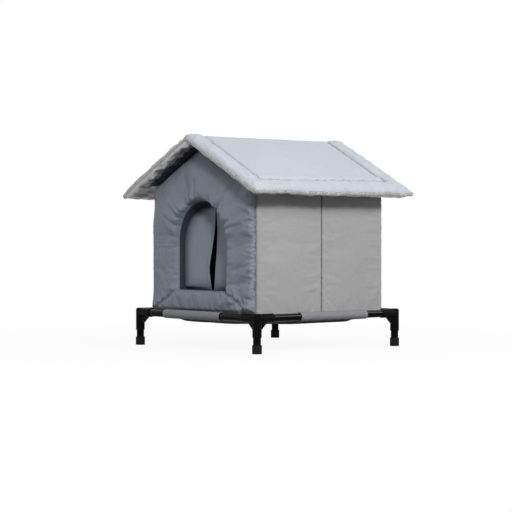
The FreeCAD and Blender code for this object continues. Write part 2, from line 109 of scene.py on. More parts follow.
# Shader wiring
class Wire:
    """A shader socket. Sums, differences, products and quotients of wires add Math nodes."""

    def __init__(self, tree, socket=None):
        self.tree = tree
        self.socket = socket

    def node(self, kind, settings=None, values=None, output=0):
        """Add a node: its settings first, then the values or links of its sockets."""
        made = self.tree.nodes.new(kind)
        for name, setting in (settings or {}).items():
            if name == "stops":
                set_stops(made.color_ramp, setting)
            else:
                setattr(made, name, setting)
        for name, value in (values or {}).items():
            if isinstance(value, Wire):
                self.tree.links.new(value.socket, made.inputs[name])
            else:
                made.inputs[name].default_value = value
        return Wire(self.tree, made.outputs[output] if made.outputs else None)

    def out(self, name):
        """Another output of the node that this wire comes from."""
        return Wire(self.tree, self.socket.node.outputs[name])

    def math(self, operation, first, second=0.0):
        return self.node("ShaderNodeMath", {"operation": operation}, {0: first, 1: second})

    def __add__(self, other):
        return self.math("ADD", self, other)

    def __radd__(self, other):
        return self.math("ADD", other, self)

    def __sub__(self, other):
        return self.math("SUBTRACT", self, other)

    def __rsub__(self, other):
        return self.math("SUBTRACT", other, self)

    def __mul__(self, other):
        return self.math("MULTIPLY", self, other)

    def __rmul__(self, other):
        return self.math("MULTIPLY", other, self)

    def __truediv__(self, other):
        return self.math("DIVIDE", self, other)

    def __rtruediv__(self, other):
        return self.math("DIVIDE", other, self)

    def floor(self):
        return self.math("FLOOR", self)

    def modulo(self, size):
        return self.math("MODULO", self, size)

    def wave(self):
        """Height of a round thread, once for each unit."""
        return self.math("ABSOLUTE", self.math("SINE", self * math.pi))


def set_stops(ramp, stops):
    """Give a colour ramp its (position, grey) stops."""
    while len(ramp.elements) < len(stops):
        ramp.elements.new(1.0)
    for element, (position, grey) in zip(ramp.elements, stops):
        element.position = position
        element.color = (grey, grey, grey, 1.0)


def new_finish(name):
    """An empty material and a wire to start its nodes from."""
    finish = bpy.data.materials.new(name)
    finish.use_nodes = True
    finish.node_tree.nodes.clear()
    return finish, Wire(finish.node_tree)


def shaded(colour, tone):
    """A colour made darker or lighter all over by a share."""
    return (colour[0] * tone, colour[1] * tone, colour[2] * tone, 1.0)


def mix_colours(start, factor, first, second):
    """Mix two colours by a factor that varies over the surface."""
    settings = {"data_type": "RGBA", "clamp_factor": True}
    return start.node("ShaderNodeMix", settings, {0: factor, 6: first, 7: second}, 2)


def stretched(start, place, scales):
    """Scale a place differently along each of its directions."""
    return start.node("ShaderNodeVectorMath", {"operation": "MULTIPLY"}, {0: place, 1: scales})


def grain(start, place, scale, detail=2.0, roughness=0.5):
    """Noise around a half, over a place."""
    values = {"Vector": place, "Scale": scale, "Detail": detail, "Roughness": roughness}
    return start.node("ShaderNodeTexNoise", {"noise_dimensions": "3D"}, values)


def close_finish(start, constants, links):
    """Shade with the constants set on the shader's sockets and the links that vary."""
    shader = start.node("ShaderNodeBsdfPrincipled", None, {**constants, **links})
    start.node("ShaderNodeOutputMaterial", None, {"Surface": shader})


def bumped(start, height, distance, strength=1.0, normal=None):
    """A normal raised by a height, on top of another normal where one is given."""
    values = {"Height": height, "Distance": distance, "Strength": strength}
    if normal is not None:
        values["Normal"] = normal
    return start.node("ShaderNodeBump", None, values)


# Finishes
thread_width = 0.0011
# Painted shade: how dark it makes a cloth, and how wide it runs beside the roof's quilting, the flaps' rim
# and the side walls' middle seam
painted_shade_tone = 0.22
groove_shade_width = 0.0048
rim_shade_width = 0.032
seam_shade_width = 0.003


def woven(name, colour, melange, roughness, crinkle=0.0, shine=0.35, painted_shade=None):
    """Plain-woven cloth on the cloth map: crossing threads, uneven yarn and faint fading, with painted shade
    darkening it along a mask where one is given.
    """
    finish, start = new_finish(name)
    place = start.node("ShaderNodeUVMap", {"uv_map": "cloth"})
    across = start.node("ShaderNodeSeparateXYZ", None, {"Vector": place})
    warp = across / thread_width
    weft = across.out("Y") / thread_width
    over = (warp.floor() + weft.floor()).modulo(2.0)
    threads = over * warp.wave() + (1.0 - over) * weft.wave()
    warp_yarn = grain(start, stretched(start, place, (700.0, 45.0, 1.0)), 1.0, 3.0, 0.6)
    weft_yarn = grain(start, stretched(start, place, (45.0, 700.0, 1.0)), 1.0, 3.0, 0.6)
    fading = grain(start, place, 9.0, 3.0)
    yarn = warp_yarn * 0.42 + weft_yarn * 0.58
    tone = (yarn - 0.5) * melange + (fading - 0.5) * 0.22 + (threads - 0.6) * 0.16 + 0.5
    pale = shaded(colour, 1.24)
    deep = shaded(colour, 0.76)
    tint = mix_colours(start, tone, deep, pale)
    if painted_shade:
        # Painted shade: where the mask is high the colour darkens to about a fifth of itself
        tint = mix_colours(start, painted_shade(across), tint, shaded(colour, painted_shade_tone))
    creases = grain(start, place, 60.0, 4.0, 0.55)
    fine = bumped(start, threads + yarn * 0.8, 0.00016, 0.7)
    normal = bumped(start, creases, 0.0012, crinkle, fine) if crinkle else fine
    gloss = roughness + (yarn - 0.5) * 0.25 - (threads - 0.5) * 0.06
    constants = {"Specular IOR Level": shine, "Sheen Weight": shine * 0.25, "Sheen Roughness": 0.5}
    close_finish(start, constants, {"Base Color": tint, "Roughness": gloss, "Normal": normal})
    return finish


def quilting_painted_shade(across):
    """Painted shade in the quilting grooves of the roof."""
    beyond_end = across.math("ABSOLUTE", across) - quilt_s
    beyond_side = across.math("ABSOLUTE", across.out("Y")) - quilt_y
    beyond = across.math("MAXIMUM", beyond_end, beyond_side)
    return across.math("MAXIMUM", 1.0 - across.math("ABSOLUTE", beyond) / groove_shade_width, 0.0)


def middle_seam_painted_shade(across):
    """Painted shade in the seam down the middle of each side wall."""
    beside = across.math("ABSOLUTE", across - seam_middle) / seam_shade_width
    return across.math("MAXIMUM", 1.0 - beside, 0.0)


def rim_painted_shade(across):
    """Painted shade along the margins of the flaps, next to the door's rim and sill."""
    height = across.out("Y")
    above = across.math("MAXIMUM", height - door_spring, 0.0)
    reach = across.math("SQRT", across * across + above * above)
    inside = across.math("MINIMUM", door_half - reach, height - door_sill)
    share = across.math("MAXIMUM", 1.0 - inside / rim_shade_width, 0.0)
    return across.math("MINIMUM", share * (share * 0.7 + 0.3), 0.95)


def foil_lining(name, colour):
    """Thin coated lining: pale, a little shiny and full of sharp creases."""
    finish, start = new_finish(name)
    place = start.node("ShaderNodeUVMap", {"uv_map": "cloth"})
    facets = start.node(
        "ShaderNodeTexVoronoi", {"feature": "F1"}, {"Vector": place, "Scale": 85.0, "Randomness": 1.0}
    )
    creases = grain(start, place, 42.0, 5.0, 0.6)
    height = facets * 0.6 + creases
    tone = (creases - 0.5) * 1.3 + 0.5
    tint = mix_colours(start, tone, shaded(colour, 0.72), shaded(colour, 1.2))
    normal = bumped(start, height, 0.004, 0.75)
    gloss = 0.42 + (creases - 0.5) * 0.3
    constants = {"Metallic": 0.35, "Specular IOR Level": 0.5}
    close_finish(start, constants, {"Base Color": tint, "Roughness": gloss, "Normal": normal})
    return finish


def frayed_tape(name, colour):
    """Edge binding with lengthwise ribs and loose fibres."""
    finish, start = new_finish(name)
    place = start.node("ShaderNodeUVMap", {"uv_map": "cloth"})
    fibres = grain(start, stretched(start, place, (160.0, 1300.0, 1.0)), 1.0, 4.0, 0.65)
    patches = grain(start, place, 120.0, 3.0)
    tone = (fibres - 0.5) * 1.8 + (patches - 0.5) * 2.4 + 0.5
    tint = mix_colours(start, tone, shaded(colour, 0.62), shaded(colour, 1.2))
    normal = bumped(start, fibres + patches * 0.6, 0.0007, 0.8)
    constants = {"Roughness": 0.88, "Specular IOR Level": 0.25, "Sheen Weight": 0.2}
    close_finish(start, constants, {"Base Color": tint, "Normal": normal})
    return finish


def enamel(name, colour, roughness, peel):
    """Gloss paint on tube: faint orange peel and dust."""
    finish, start = new_finish(name)
    place = start.node("ShaderNodeTexCoord", None, None, 3)
    skin = grain(start, place, 520.0, 2.0)
    dust = grain(start, place, 46.0, 6.0, 0.7)
    specks = start.node("ShaderNodeValToRGB", {"stops": [(0.52, 0.0), (0.78, 1.0)]}, {"Fac": dust})
    tint = mix_colours(start, specks * 0.3, shaded(colour, 1.0), (0.012, 0.012, 0.013, 1.0))
    gloss = roughness + specks * 0.22 + (skin - 0.5) * 0.08
    normal = bumped(start, skin, 0.00012, peel)
    upward = start.node("ShaderNodeNewGeometry", None, None, 1)
    height = start.node("ShaderNodeSeparateXYZ", None, {"Vector": upward}, 2)
    # Painted highlight: more clear coat on faces that look up, so that the tops of the tubes show a bright
    # streak
    top_highlight_coat = height.math("MINIMUM", height.math("MAXIMUM", (height - 0.15) * 1.6, 0.0), 1.0)
    constants = {"Specular IOR Level": 0.025, "Coat Roughness": 0.12}
    links = {"Base Color": tint, "Roughness": gloss, "Normal": normal, "Coat Weight": top_highlight_coat * 0.4}
    close_finish(start, constants, links)
    return finish


def moulded(name, colour, roughness, texture, rounding):
    """Moulded plastic or rubber: fine spark texture and softened edges."""
    finish, start = new_finish(name)
    place = start.node("ShaderNodeTexCoord", None, None, 3)
    spark = grain(start, place, 1500.0, 2.0, 0.6)
    cloud = grain(start, place, 38.0, 5.0, 0.65)
    scuffs = start.node("ShaderNodeValToRGB", {"stops": [(0.5, 0.0), (0.8, 1.0)]}, {"Fac": cloud})
    tint = mix_colours(start, scuffs * 0.5, shaded(colour, 1.0), shaded(colour, 2.3))
    gloss = roughness + scuffs * 0.15 + (spark - 0.5) * 0.12
    soft = start.node("ShaderNodeBevel", {"samples": 6}, {"Radius": rounding})
    normal = bumped(start, spark, 0.00012, texture, soft)
    close_finish(
        start, {"Specular IOR Level": 0.025}, {"Base Color": tint, "Roughness": gloss, "Normal": normal}
    )
    return finish


def pile_tape(name, colour):
    """Hook and loop tape: a dense pile in rows."""
    finish, start = new_finish(name)
    place = start.node("ShaderNodeTexCoord", None, None, 3)
    pile = start.node("ShaderNodeTexVoronoi", {"feature": "F1"}, {"Vector": place, "Scale": 1100.0})
    cloud = grain(start, place, 60.0, 3.0)
    tone = pile * 0.9 + (cloud - 0.5) * 0.5
    tint = mix_colours(start, tone, shaded(colour, 1.15), shaded(colour, 0.55))
    normal = bumped(start, 1.0 - pile, 0.0006, 0.9)
    close_finish(
        start, {"Roughness": 0.9, "Sheen Weight": 0.25}, {"Base Color": tint, "Normal": normal}
    )
    return finish


def foam_board(name, colour):
    """Closed-cell foam: fine pits and a faint mottle."""
    finish, start = new_finish(name)
    place = start.node("ShaderNodeTexCoord", None, None, 3)
    cells = start.node("ShaderNodeTexVoronoi", {"feature": "F1"}, {"Vector": place, "Scale": 700.0})
    mottle = grain(start, place, 30.0, 4.0)
    tint = mix_colours(start, cells * 0.6 + mottle * 0.4, shaded(colour, 0.85), shaded(colour, 1.08))
    normal = bumped(start, cells, 0.0005, 0.6)
    close_finish(start, {"Roughness": 0.9}, {"Base Color": tint, "Normal": normal})
    return finish


def sewing_thread(name, colour):
    """Twisted thread of the stitches."""
    finish, start = new_finish(name)
    place = start.node("ShaderNodeTexCoord", None, None, 3)
    twist = grain(start, place, 2600.0, 2.0)
    tint = mix_colours(start, twist, shaded(colour, 0.7), shaded(colour, 1.25))
    normal = bumped(start, twist, 0.0002, 0.8)
    close_finish(start, {"Roughness": 0.6}, {"Base Color": tint, "Normal": normal})
    return finish


front_cloth = woven("front_cloth", (0.225, 0.255, 0.31), 0.9, 0.5)
# Flaps: painted shade along the margins next to the door's rim and sill
flap_cloth = woven("flap_cloth", (0.245, 0.28, 0.34), 0.8, 0.5, painted_shade=rim_painted_shade)
wall_cloth = woven("wall_cloth", (0.42, 0.42, 0.425), 1.2, 0.66)
# Side walls: painted shade along the middle seam
side_cloth = woven("side_cloth", (0.42, 0.42, 0.425), 1.2, 0.66, painted_shade=middle_seam_painted_shade)
# Nearly black cloth as painted shade: on the door's reveal, the flap header and the roof's underside over the
# room
painted_shade_cloth = woven("painted_shade_cloth", (0.045, 0.053, 0.07), 0.8, 0.75, shine=0.1)
lining_cloth = woven("lining_cloth", (0.17, 0.18, 0.2), 0.9, 0.7)
# Nearly black sling: painted shade under the house and below the rails, where the cloth is in shadow
sling_weave = woven("sling_weave", (0.012, 0.012, 0.013), 0.9, 0.7, shine=0.03)
sleeve_cloth = woven("sleeve_cloth", (0.27, 0.275, 0.295), 0.9, 0.6, crinkle=0.9, shine=0.12)
roof_foil = foil_lining("roof_foil", (0.62, 0.61, 0.6))
# The same foil made darker: painted shade on the roof's underside away from its edges
roof_foil_painted_shade = foil_lining("roof_foil_painted_shade", (0.3, 0.3, 0.32))
edge_binding = frayed_tape("edge_binding", (0.64, 0.645, 0.65))
tube_enamel = enamel("tube_enamel", (0.0035, 0.0035, 0.004), 0.2, 0.5)
fitting_nylon = moulded("fitting_nylon", (0.0045, 0.0045, 0.005), 0.34, 0.5, 0.0022)
foot_rubber = moulded("foot_rubber", (0.016, 0.017, 0.018), 0.55, 0.8, 0.0012)
grip_tape = pile_tape("grip_tape", (0.3, 0.31, 0.33))
board_foam = foam_board("board_foam", (0.62, 0.62, 0.6))
seam_thread = sewing_thread("seam_thread", (0.2, 0.22, 0.25))
dark_thread = sewing_thread("dark_thread", (0.12, 0.13, 0.15))


# Mesh tools
run_step = 0.002
seam_groove = 0.005
filling_shift_share = 0.18
filling_gap_share = 0.6
join_tolerance = 1e-7
same_place = 1e-6


def spaced(points, step, closed):
    """Points along straight runs, about a step apart."""
    ends = [Vector(point) for point in points]
    if closed:
        ends = ends + ends[:1]
    placed = []
    for start, end in zip(ends, ends[1:]):
        count = max(1, round((end - start).length / step))
        placed += [tuple(start.lerp(end, number / count)) for number in range(count)]
    if not closed:
        placed.append(tuple(ends[-1]))
    return placed


def within(points, outline):
    """Which points lie inside a closed outline."""
    corners = np.array(outline)
    inside = np.zeros(len(points), bool)
    for (ax, ay), (bx, by) in zip(corners, np.roll(corners, -1, axis=0)):
        if ay == by:
            continue
        crosses = (ay > points[:, 1]) != (by > points[:, 1])
        at = (bx - ax) * (points[:, 1] - ay) / (by - ay) + ax
        inside ^= crosses & (points[:, 0] < at)
    return inside


def distance_to(points, line, closed):
    """Distance of each point from a line of straight runs."""
    ends = np.array(line)
    starts = ends if closed else ends[:-1]
    stops = np.roll(ends, -1, axis=0) if closed else ends[1:]
    nearest = np.full(len(points), np.inf)
    for start, stop in zip(starts, stops):
        run = stop - start
        share = np.clip((points - start) @ run / (run @ run), 0, 1)
        gap = np.linalg.norm(points - (start + share[:, None] * run), axis=1)
        nearest = np.minimum(nearest, gap)
    return nearest


def roundness(share):
    """Quarter-round profile, from 0 at an edge to 1."""
    return np.sqrt(1 - (1 - np.clip(share, 0, 1)) ** 2)


def run_lengths(line):
    """How far along a line each of its points lies."""
    return np.concatenate([[0], np.cumsum(np.linalg.norm(np.diff(line, axis=0), axis=1))])


def run_along(points, line, closed):
    """How far along a line the nearest place to each point lies."""
    row = np.array(spaced(line, run_step, closed))
    runs = run_lengths(row)
    return np.array([runs[np.argmin(((row - point) ** 2).sum(axis=1))] for point in points])


def point_at(line, runs, run):
    """Place on a line at a run along it."""
    return np.array([np.interp(run, runs, line[:, axis]) for axis in range(3)])


def gathers(runs, pitch, seed):
    """Uneven soft ridges with sharp valleys, as cloth gathers along a seam."""
    heights = []
    for run in runs / pitch:
        wander = run + 0.9 * noise.noise(Vector((run * 0.6, seed, 0.0)))
        fullness = 0.65 + 0.5 * noise.noise(Vector((run * 0.9, seed + 3, 1.0)))
        heights.append(abs(math.sin(math.pi * wander)) ** 0.7 * fullness)
    return np.array(heights)


def near_seam(distance, reach):
    """Strength of gathers beside a seam: none in it, most just next to it."""
    return np.exp(-distance / reach) * np.clip(distance / seam_groove, 0, 1)


def cut_panel(outline, hole, seams, step, seed):
    """Flat piece of cloth in triangles, with its outline, hole and seams as rows of points."""
    draw = random.Random(seed)
    rows = [(spaced(outline, step, True), True)]
    if hole:
        rows.append((spaced(hole, step, True), True))
    rows += [(spaced(seam, step, False), False) for seam in seams]
    points = []
    edges = []
    row_numbers = []
    for row, closed in rows:
        first = len(points)
        numbers = list(range(first, first + len(row)))
        edges += list(zip(numbers, numbers[1:]))
        if closed:
            edges.append((numbers[-1], first))
        points += row
        row_numbers.append(numbers)
    low = np.min(outline, axis=0)
    high = np.max(outline, axis=0)
    lift = step * math.sqrt(3) / 2
    filling = []
    for number in range(int((high[1] - low[1]) / lift) + 1):
        place = low[0] + step * 0.5 * (number % 2)
        while place < high[0]:
            most = filling_shift_share
            shift = (draw.uniform(-most, most) * step, draw.uniform(-most, most) * step)
            filling.append((place + shift[0], low[1] + number * lift + shift[1]))
            place += step
    filling = np.array(filling)
    wanted = within(filling, outline)
    if hole:
        wanted &= ~within(filling, hole)
    for row, closed in rows:
        wanted &= distance_to(filling, row, closed) > step * filling_gap_share
    points += [tuple(point) for point in filling[wanted]]
    made = delaunay_2d_cdt([Vector(point) for point in points], edges, [], 0, join_tolerance)
    flat = np.array([tuple(point) for point in made[0]])
    faces = np.array([tuple(face) for face in made[2]])
    centres = flat[faces].mean(axis=1)
    kept = within(centres, outline)
    if hole:
        kept &= ~within(centres, hole)
    became = {old: new for new, olds in enumerate(made[3]) for old in olds}
    found = [[became[number] for number in numbers] for numbers in row_numbers]
    first_seam = 2 if hole else 1
    return SimpleNamespace(
        flat=flat, faces=faces[kept], outline=found[0], hole=found[1] if hole else [],
        seams=found[first_seam:],
    )


def turned_to(points, faces, direction):
    """The faces, turned so that most of them look in a direction."""
    first, second, third = (points[faces[:, corner]] for corner in range(3))
    facing = np.cross(second - first, third - first).sum(axis=0)
    return faces if facing @ np.array(direction) > 0 else faces[:, ::-1]


def bridge(first, second, closed):
    """Faces between two rows of point numbers."""
    pairs = list(zip(first, second))
    following = pairs[1:] + (pairs[:1] if closed else [])
    return [(a, c, d, b) for (a, b), (c, d) in zip(pairs, following)]


def numbered(rows, columns, first=0):
    """Point numbers of a grid, row by row."""
    return [[first + row * columns + column for column in range(columns)] for row in range(rows)]


def strips(rows, closed):
    """Faces between each row of point numbers and the next."""
    faces = []
    for first, second in zip(rows, rows[1:]):
        faces += bridge(first, second, closed)
    return faces


def placed(name, data):
    """Object for a mesh, a lamp or a camera, put into the scene."""
    made = bpy.data.objects.new(name, data)
    scene.collection.objects.link(made)
    return made


def plain_mesh(name, points, faces):
    """Mesh of points and faces as they come."""
    mesh = bpy.data.meshes.new(name)
    rows = [tuple(float(value) for value in point) for point in points]
    mesh.from_pydata(rows, [], [tuple(int(number) for number in face) for face in faces])
    return mesh


def new_piece(name, points, faces, flat=None):
    """Mesh object with smooth faces, and a cloth map in metres where flat places are given."""
    mesh = plain_mesh(name, points, faces)
    work = bmesh.new()
    work.from_mesh(mesh)
    bmesh.ops.recalc_face_normals(work, faces=work.faces)
    work.to_mesh(mesh)
    work.free()
    mesh.polygons.foreach_set("use_smooth", [True] * len(mesh.polygons))
    if flat is not None:
        corners = np.empty(len(mesh.loops), int)
        mesh.loops.foreach_get("vertex_index", corners)
        layer = mesh.uv_layers.new(name="cloth")
        layer.data.foreach_set("uv", np.asarray(flat, float)[corners].ravel())
    return placed(name, mesh)


def welded(piece, reach):
    """Join the points of a piece that lie within a reach of each other."""
    work = bmesh.new()
    work.from_mesh(piece.data)
    bmesh.ops.remove_doubles(work, verts=work.verts, dist=reach)
    bmesh.ops.recalc_face_normals(work, faces=work.faces)
    work.to_mesh(piece.data)
    work.free()
    return piece


def dressed(piece, body, finish, nodes=()):
    """Give a piece its finish, its body and the nodes that it stands for."""
    piece.data.materials.append(finish)
    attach(piece, body)
    if nodes:
        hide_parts(*nodes)
    return piece


def smoothed(piece, levels=1):
    """Subdivision surface on a piece."""
    modifier = piece.modifiers.new("smooth", "SUBSURF")
    modifier.levels = levels
    modifier.render_levels = levels
    modifier.quality = 1
    modifier.use_limit_surface = False
    return piece


def thickened(piece, thickness, offset=0.0):
    """Give a sheet of cloth its thickness."""
    modifier = piece.modifiers.new("thickness", "SOLIDIFY")
    modifier.thickness = thickness
    modifier.offset = offset
    return piece


padding_cloth = {
    "quality": 6, "mass": 0.1, "air_damping": 1, "pin_stiffness": 1, "use_pressure": True,
    "tension_stiffness": 30, "compression_stiffness": 30, "shear_stiffness": 15, "bending_stiffness": 0.05,
    "tension_damping": 5, "compression_damping": 5, "shear_damping": 5, "bending_damping": 0.5,
}
least_slack = 1e-6


def simulated(points, faces, held, slack, pressure, frames=30):
    """Swell a panel of cloth between its held points; slack is the spare cloth at each point."""
    mesh = plain_mesh("cloth_at_work", points, faces)
    piece = placed("cloth_at_work", mesh)
    most_slack = float(max(slack.max(), least_slack))
    for name, weights in (("held", held), ("taut", 1 - slack / most_slack)):
        group = piece.vertex_groups.new(name=name)
        for number in np.flatnonzero(weights > 0):
            group.add([int(number)], float(weights[number]), "REPLACE")
    cloth = piece.modifiers.new("cloth", "CLOTH")
    settings = cloth.settings
    for name, value in padding_cloth.items():
        setattr(settings, name, value)
    settings.vertex_group_mass = "held"
    settings.uniform_pressure_force = pressure
    settings.vertex_group_shrink = "taut"
    settings.shrink_min = -most_slack
    settings.shrink_max = 0.0
    settings.effector_weights.gravity = 0
    cloth.collision_settings.use_collision = False
    cloth.collision_settings.use_self_collision = False
    cloth.point_cache.frame_start = 1
    cloth.point_cache.frame_end = frames
    for number in range(1, frames + 1):
        scene.frame_set(number)
    seen = piece.evaluated_get(bpy.context.evaluated_depsgraph_get())
    settled = np.empty(len(points) * 3)
    seen.data.vertices.foreach_get("co", settled)
    scene.frame_set(1)
    bpy.data.objects.remove(piece)
    bpy.data.meshes.remove(mesh)
    return settled.reshape(-1, 3)


stitch_sides = 6
stitch_lift_share = 0.4
stitch_length_shares = (-0.5, -0.36, 0.36, 0.5)
stitch_width_shares = (0.35, 1.0, 1.0, 0.35)


def sewn_stitches(name, rows, body, finish):
    """Rows of short stitches lying on the cloth; a row is its points and the way up from it."""
    points = []
    faces = []
    for line, up in rows:
        line = np.asarray(line, float)
        runs = run_lengths(line)
        for middle in np.arange(stitch_pitch / 2, runs[-1], stitch_pitch):
            begin = point_at(line, runs, middle - stitch_length / 2)
            end = point_at(line, runs, middle + stitch_length / 2)
            along = end - begin
            span = np.linalg.norm(along)
            if span < stitch_length / 2:
                continue
            along = along / span
            across = np.cross(along, up)
            across = across / np.linalg.norm(across)
            rise = np.cross(across, along)
            centre = (begin + end) / 2 + rise * stitch_radius * stitch_lift_share
            rings = numbered(len(stitch_length_shares), stitch_sides, len(points))
            for length, width in zip(stitch_length_shares, stitch_width_shares):
                for side in range(stitch_sides):
                    angle = 2 * math.pi * side / stitch_sides
                    spoke = across * math.cos(angle) + rise * math.sin(angle)
                    points.append(centre + along * length * stitch_length + spoke * width * stitch_radius)
            faces += strips(rings, True)
            faces += [rings[0][::-1], rings[-1]]
    return dressed(new_piece(name, points, faces), body, finish)


sink_limit = 0.0007
panel_hold_share = 0.06
panel_margin = 0.06
panel_pressure = 0.5
panel_frames = 24


def sewn_panel(name, outline, place, outward, sizes, seed, body, finish, node):
    """Padded panel with two faces; sizes are its thickness, its edge, its slack and its step."""
    thickness, edge, slack, step = sizes
    cut = cut_panel(outline, None, [], step, seed)
    inset = distance_to(cut.flat, outline, True)
    rise = edge / 2 + (thickness - edge) / 2 * roundness(inset / wall_taper)
    points = place(cut.flat, rise)
    faces = turned_to(points, cut.faces, outward)
    held = np.full(len(points), panel_hold_share)
    held[cut.outline] = 1.0
    spare = slack * np.clip(1.3 - inset / panel_margin, 0.25, 1.0)
    face = simulated(points, faces, held, spare, panel_pressure, panel_frames)
    normal = np.array(outward, float)
    depth = (face - place(cut.flat, rise * 0)) @ normal
    sunk = np.maximum(rise - sink_limit - depth, 0)
    face = face + sunk[:, None] * normal
    depth = depth + sunk
    back = face - 2 * depth[:, None] * normal
    count = len(points)
    opposite = [number + count for number in cut.outline]
    all_faces = [tuple(item) for item in faces]
    all_faces += [tuple(item + count)[::-1] for item in faces]
    all_faces += bridge(cut.outline, opposite, True)
    piece = new_piece(name, np.vstack([face, back]), all_faces, np.vstack([cut.flat, cut.flat]))
    dressed(smoothed(piece), body, finish, [node])
    return piece


# Front wall: the stuffed pad round the door
def arch_outline(spread, count=40):
    """Outline of the door opening, wider by spread, from the lower left corner."""
    half = door_half + spread
    bow = [
        (half * math.cos(angle), door_spring + half * math.sin(angle))
        for angle in np.linspace(0, math.pi, count)
    ]
    return [(-half, door_sill - spread), (half, door_sill - spread)] + bow


def gable_outline(half):
    """Outline of a gable wall of a given half width, from the lower left corner."""
    shoulder = gable_top - half * gable_slope
    return [
        (-half, house_bottom), (half, house_bottom), (half, shoulder), (0.0, gable_top), (-half, shoulder),
    ]


# The pad's swell, then the pitch and reach of its gathers and folds
pad_crown = 0.0145
pad_crown_width = 0.034
pad_boxed_width = 0.012
pad_roll_width = 0.030
door_rim = 0.004
door_rim_width = 0.040
mitre_rise = 0.012
mitre_dip_width = 0.015
seam_clearance = 0.0005
pad_slack = 0.04
pad_pucker = 0.009
pad_fold = 0.008
pad_crease = 0.0038
pad_step = 0.005
pad_pressure = 3.0
boxed_reach = 0.060
boxed_fade = 0.030
boxed_top = 0.370
boxed_top_fade = 0.080
arch_pitch = 0.020
arch_reach = 0.022
arch_reach_above = 0.014
arch_fade = 0.060
fullness_drop = 0.020
fullness_fade = 0.050
fullness_least = 0.25
fullness_most = 0.9
right_pitch = 0.019
right_reach = 0.016
right_long_pitch = 0.043
right_long_reach = 0.050
fold_pitch = 0.036
fold_reach = 0.055
fold_fade = 0.050
fold_margin = 0.020
fold_centre_left = 0.012
sill_pitch = 0.020
sill_reach = 0.020
base_fade = 0.025
arch_slack_reach = 0.020
right_slack_reach = 0.025
sleeve_clearance = 0.0008
sleeve_margin = 0.002
stitch_clearance = 0.0002


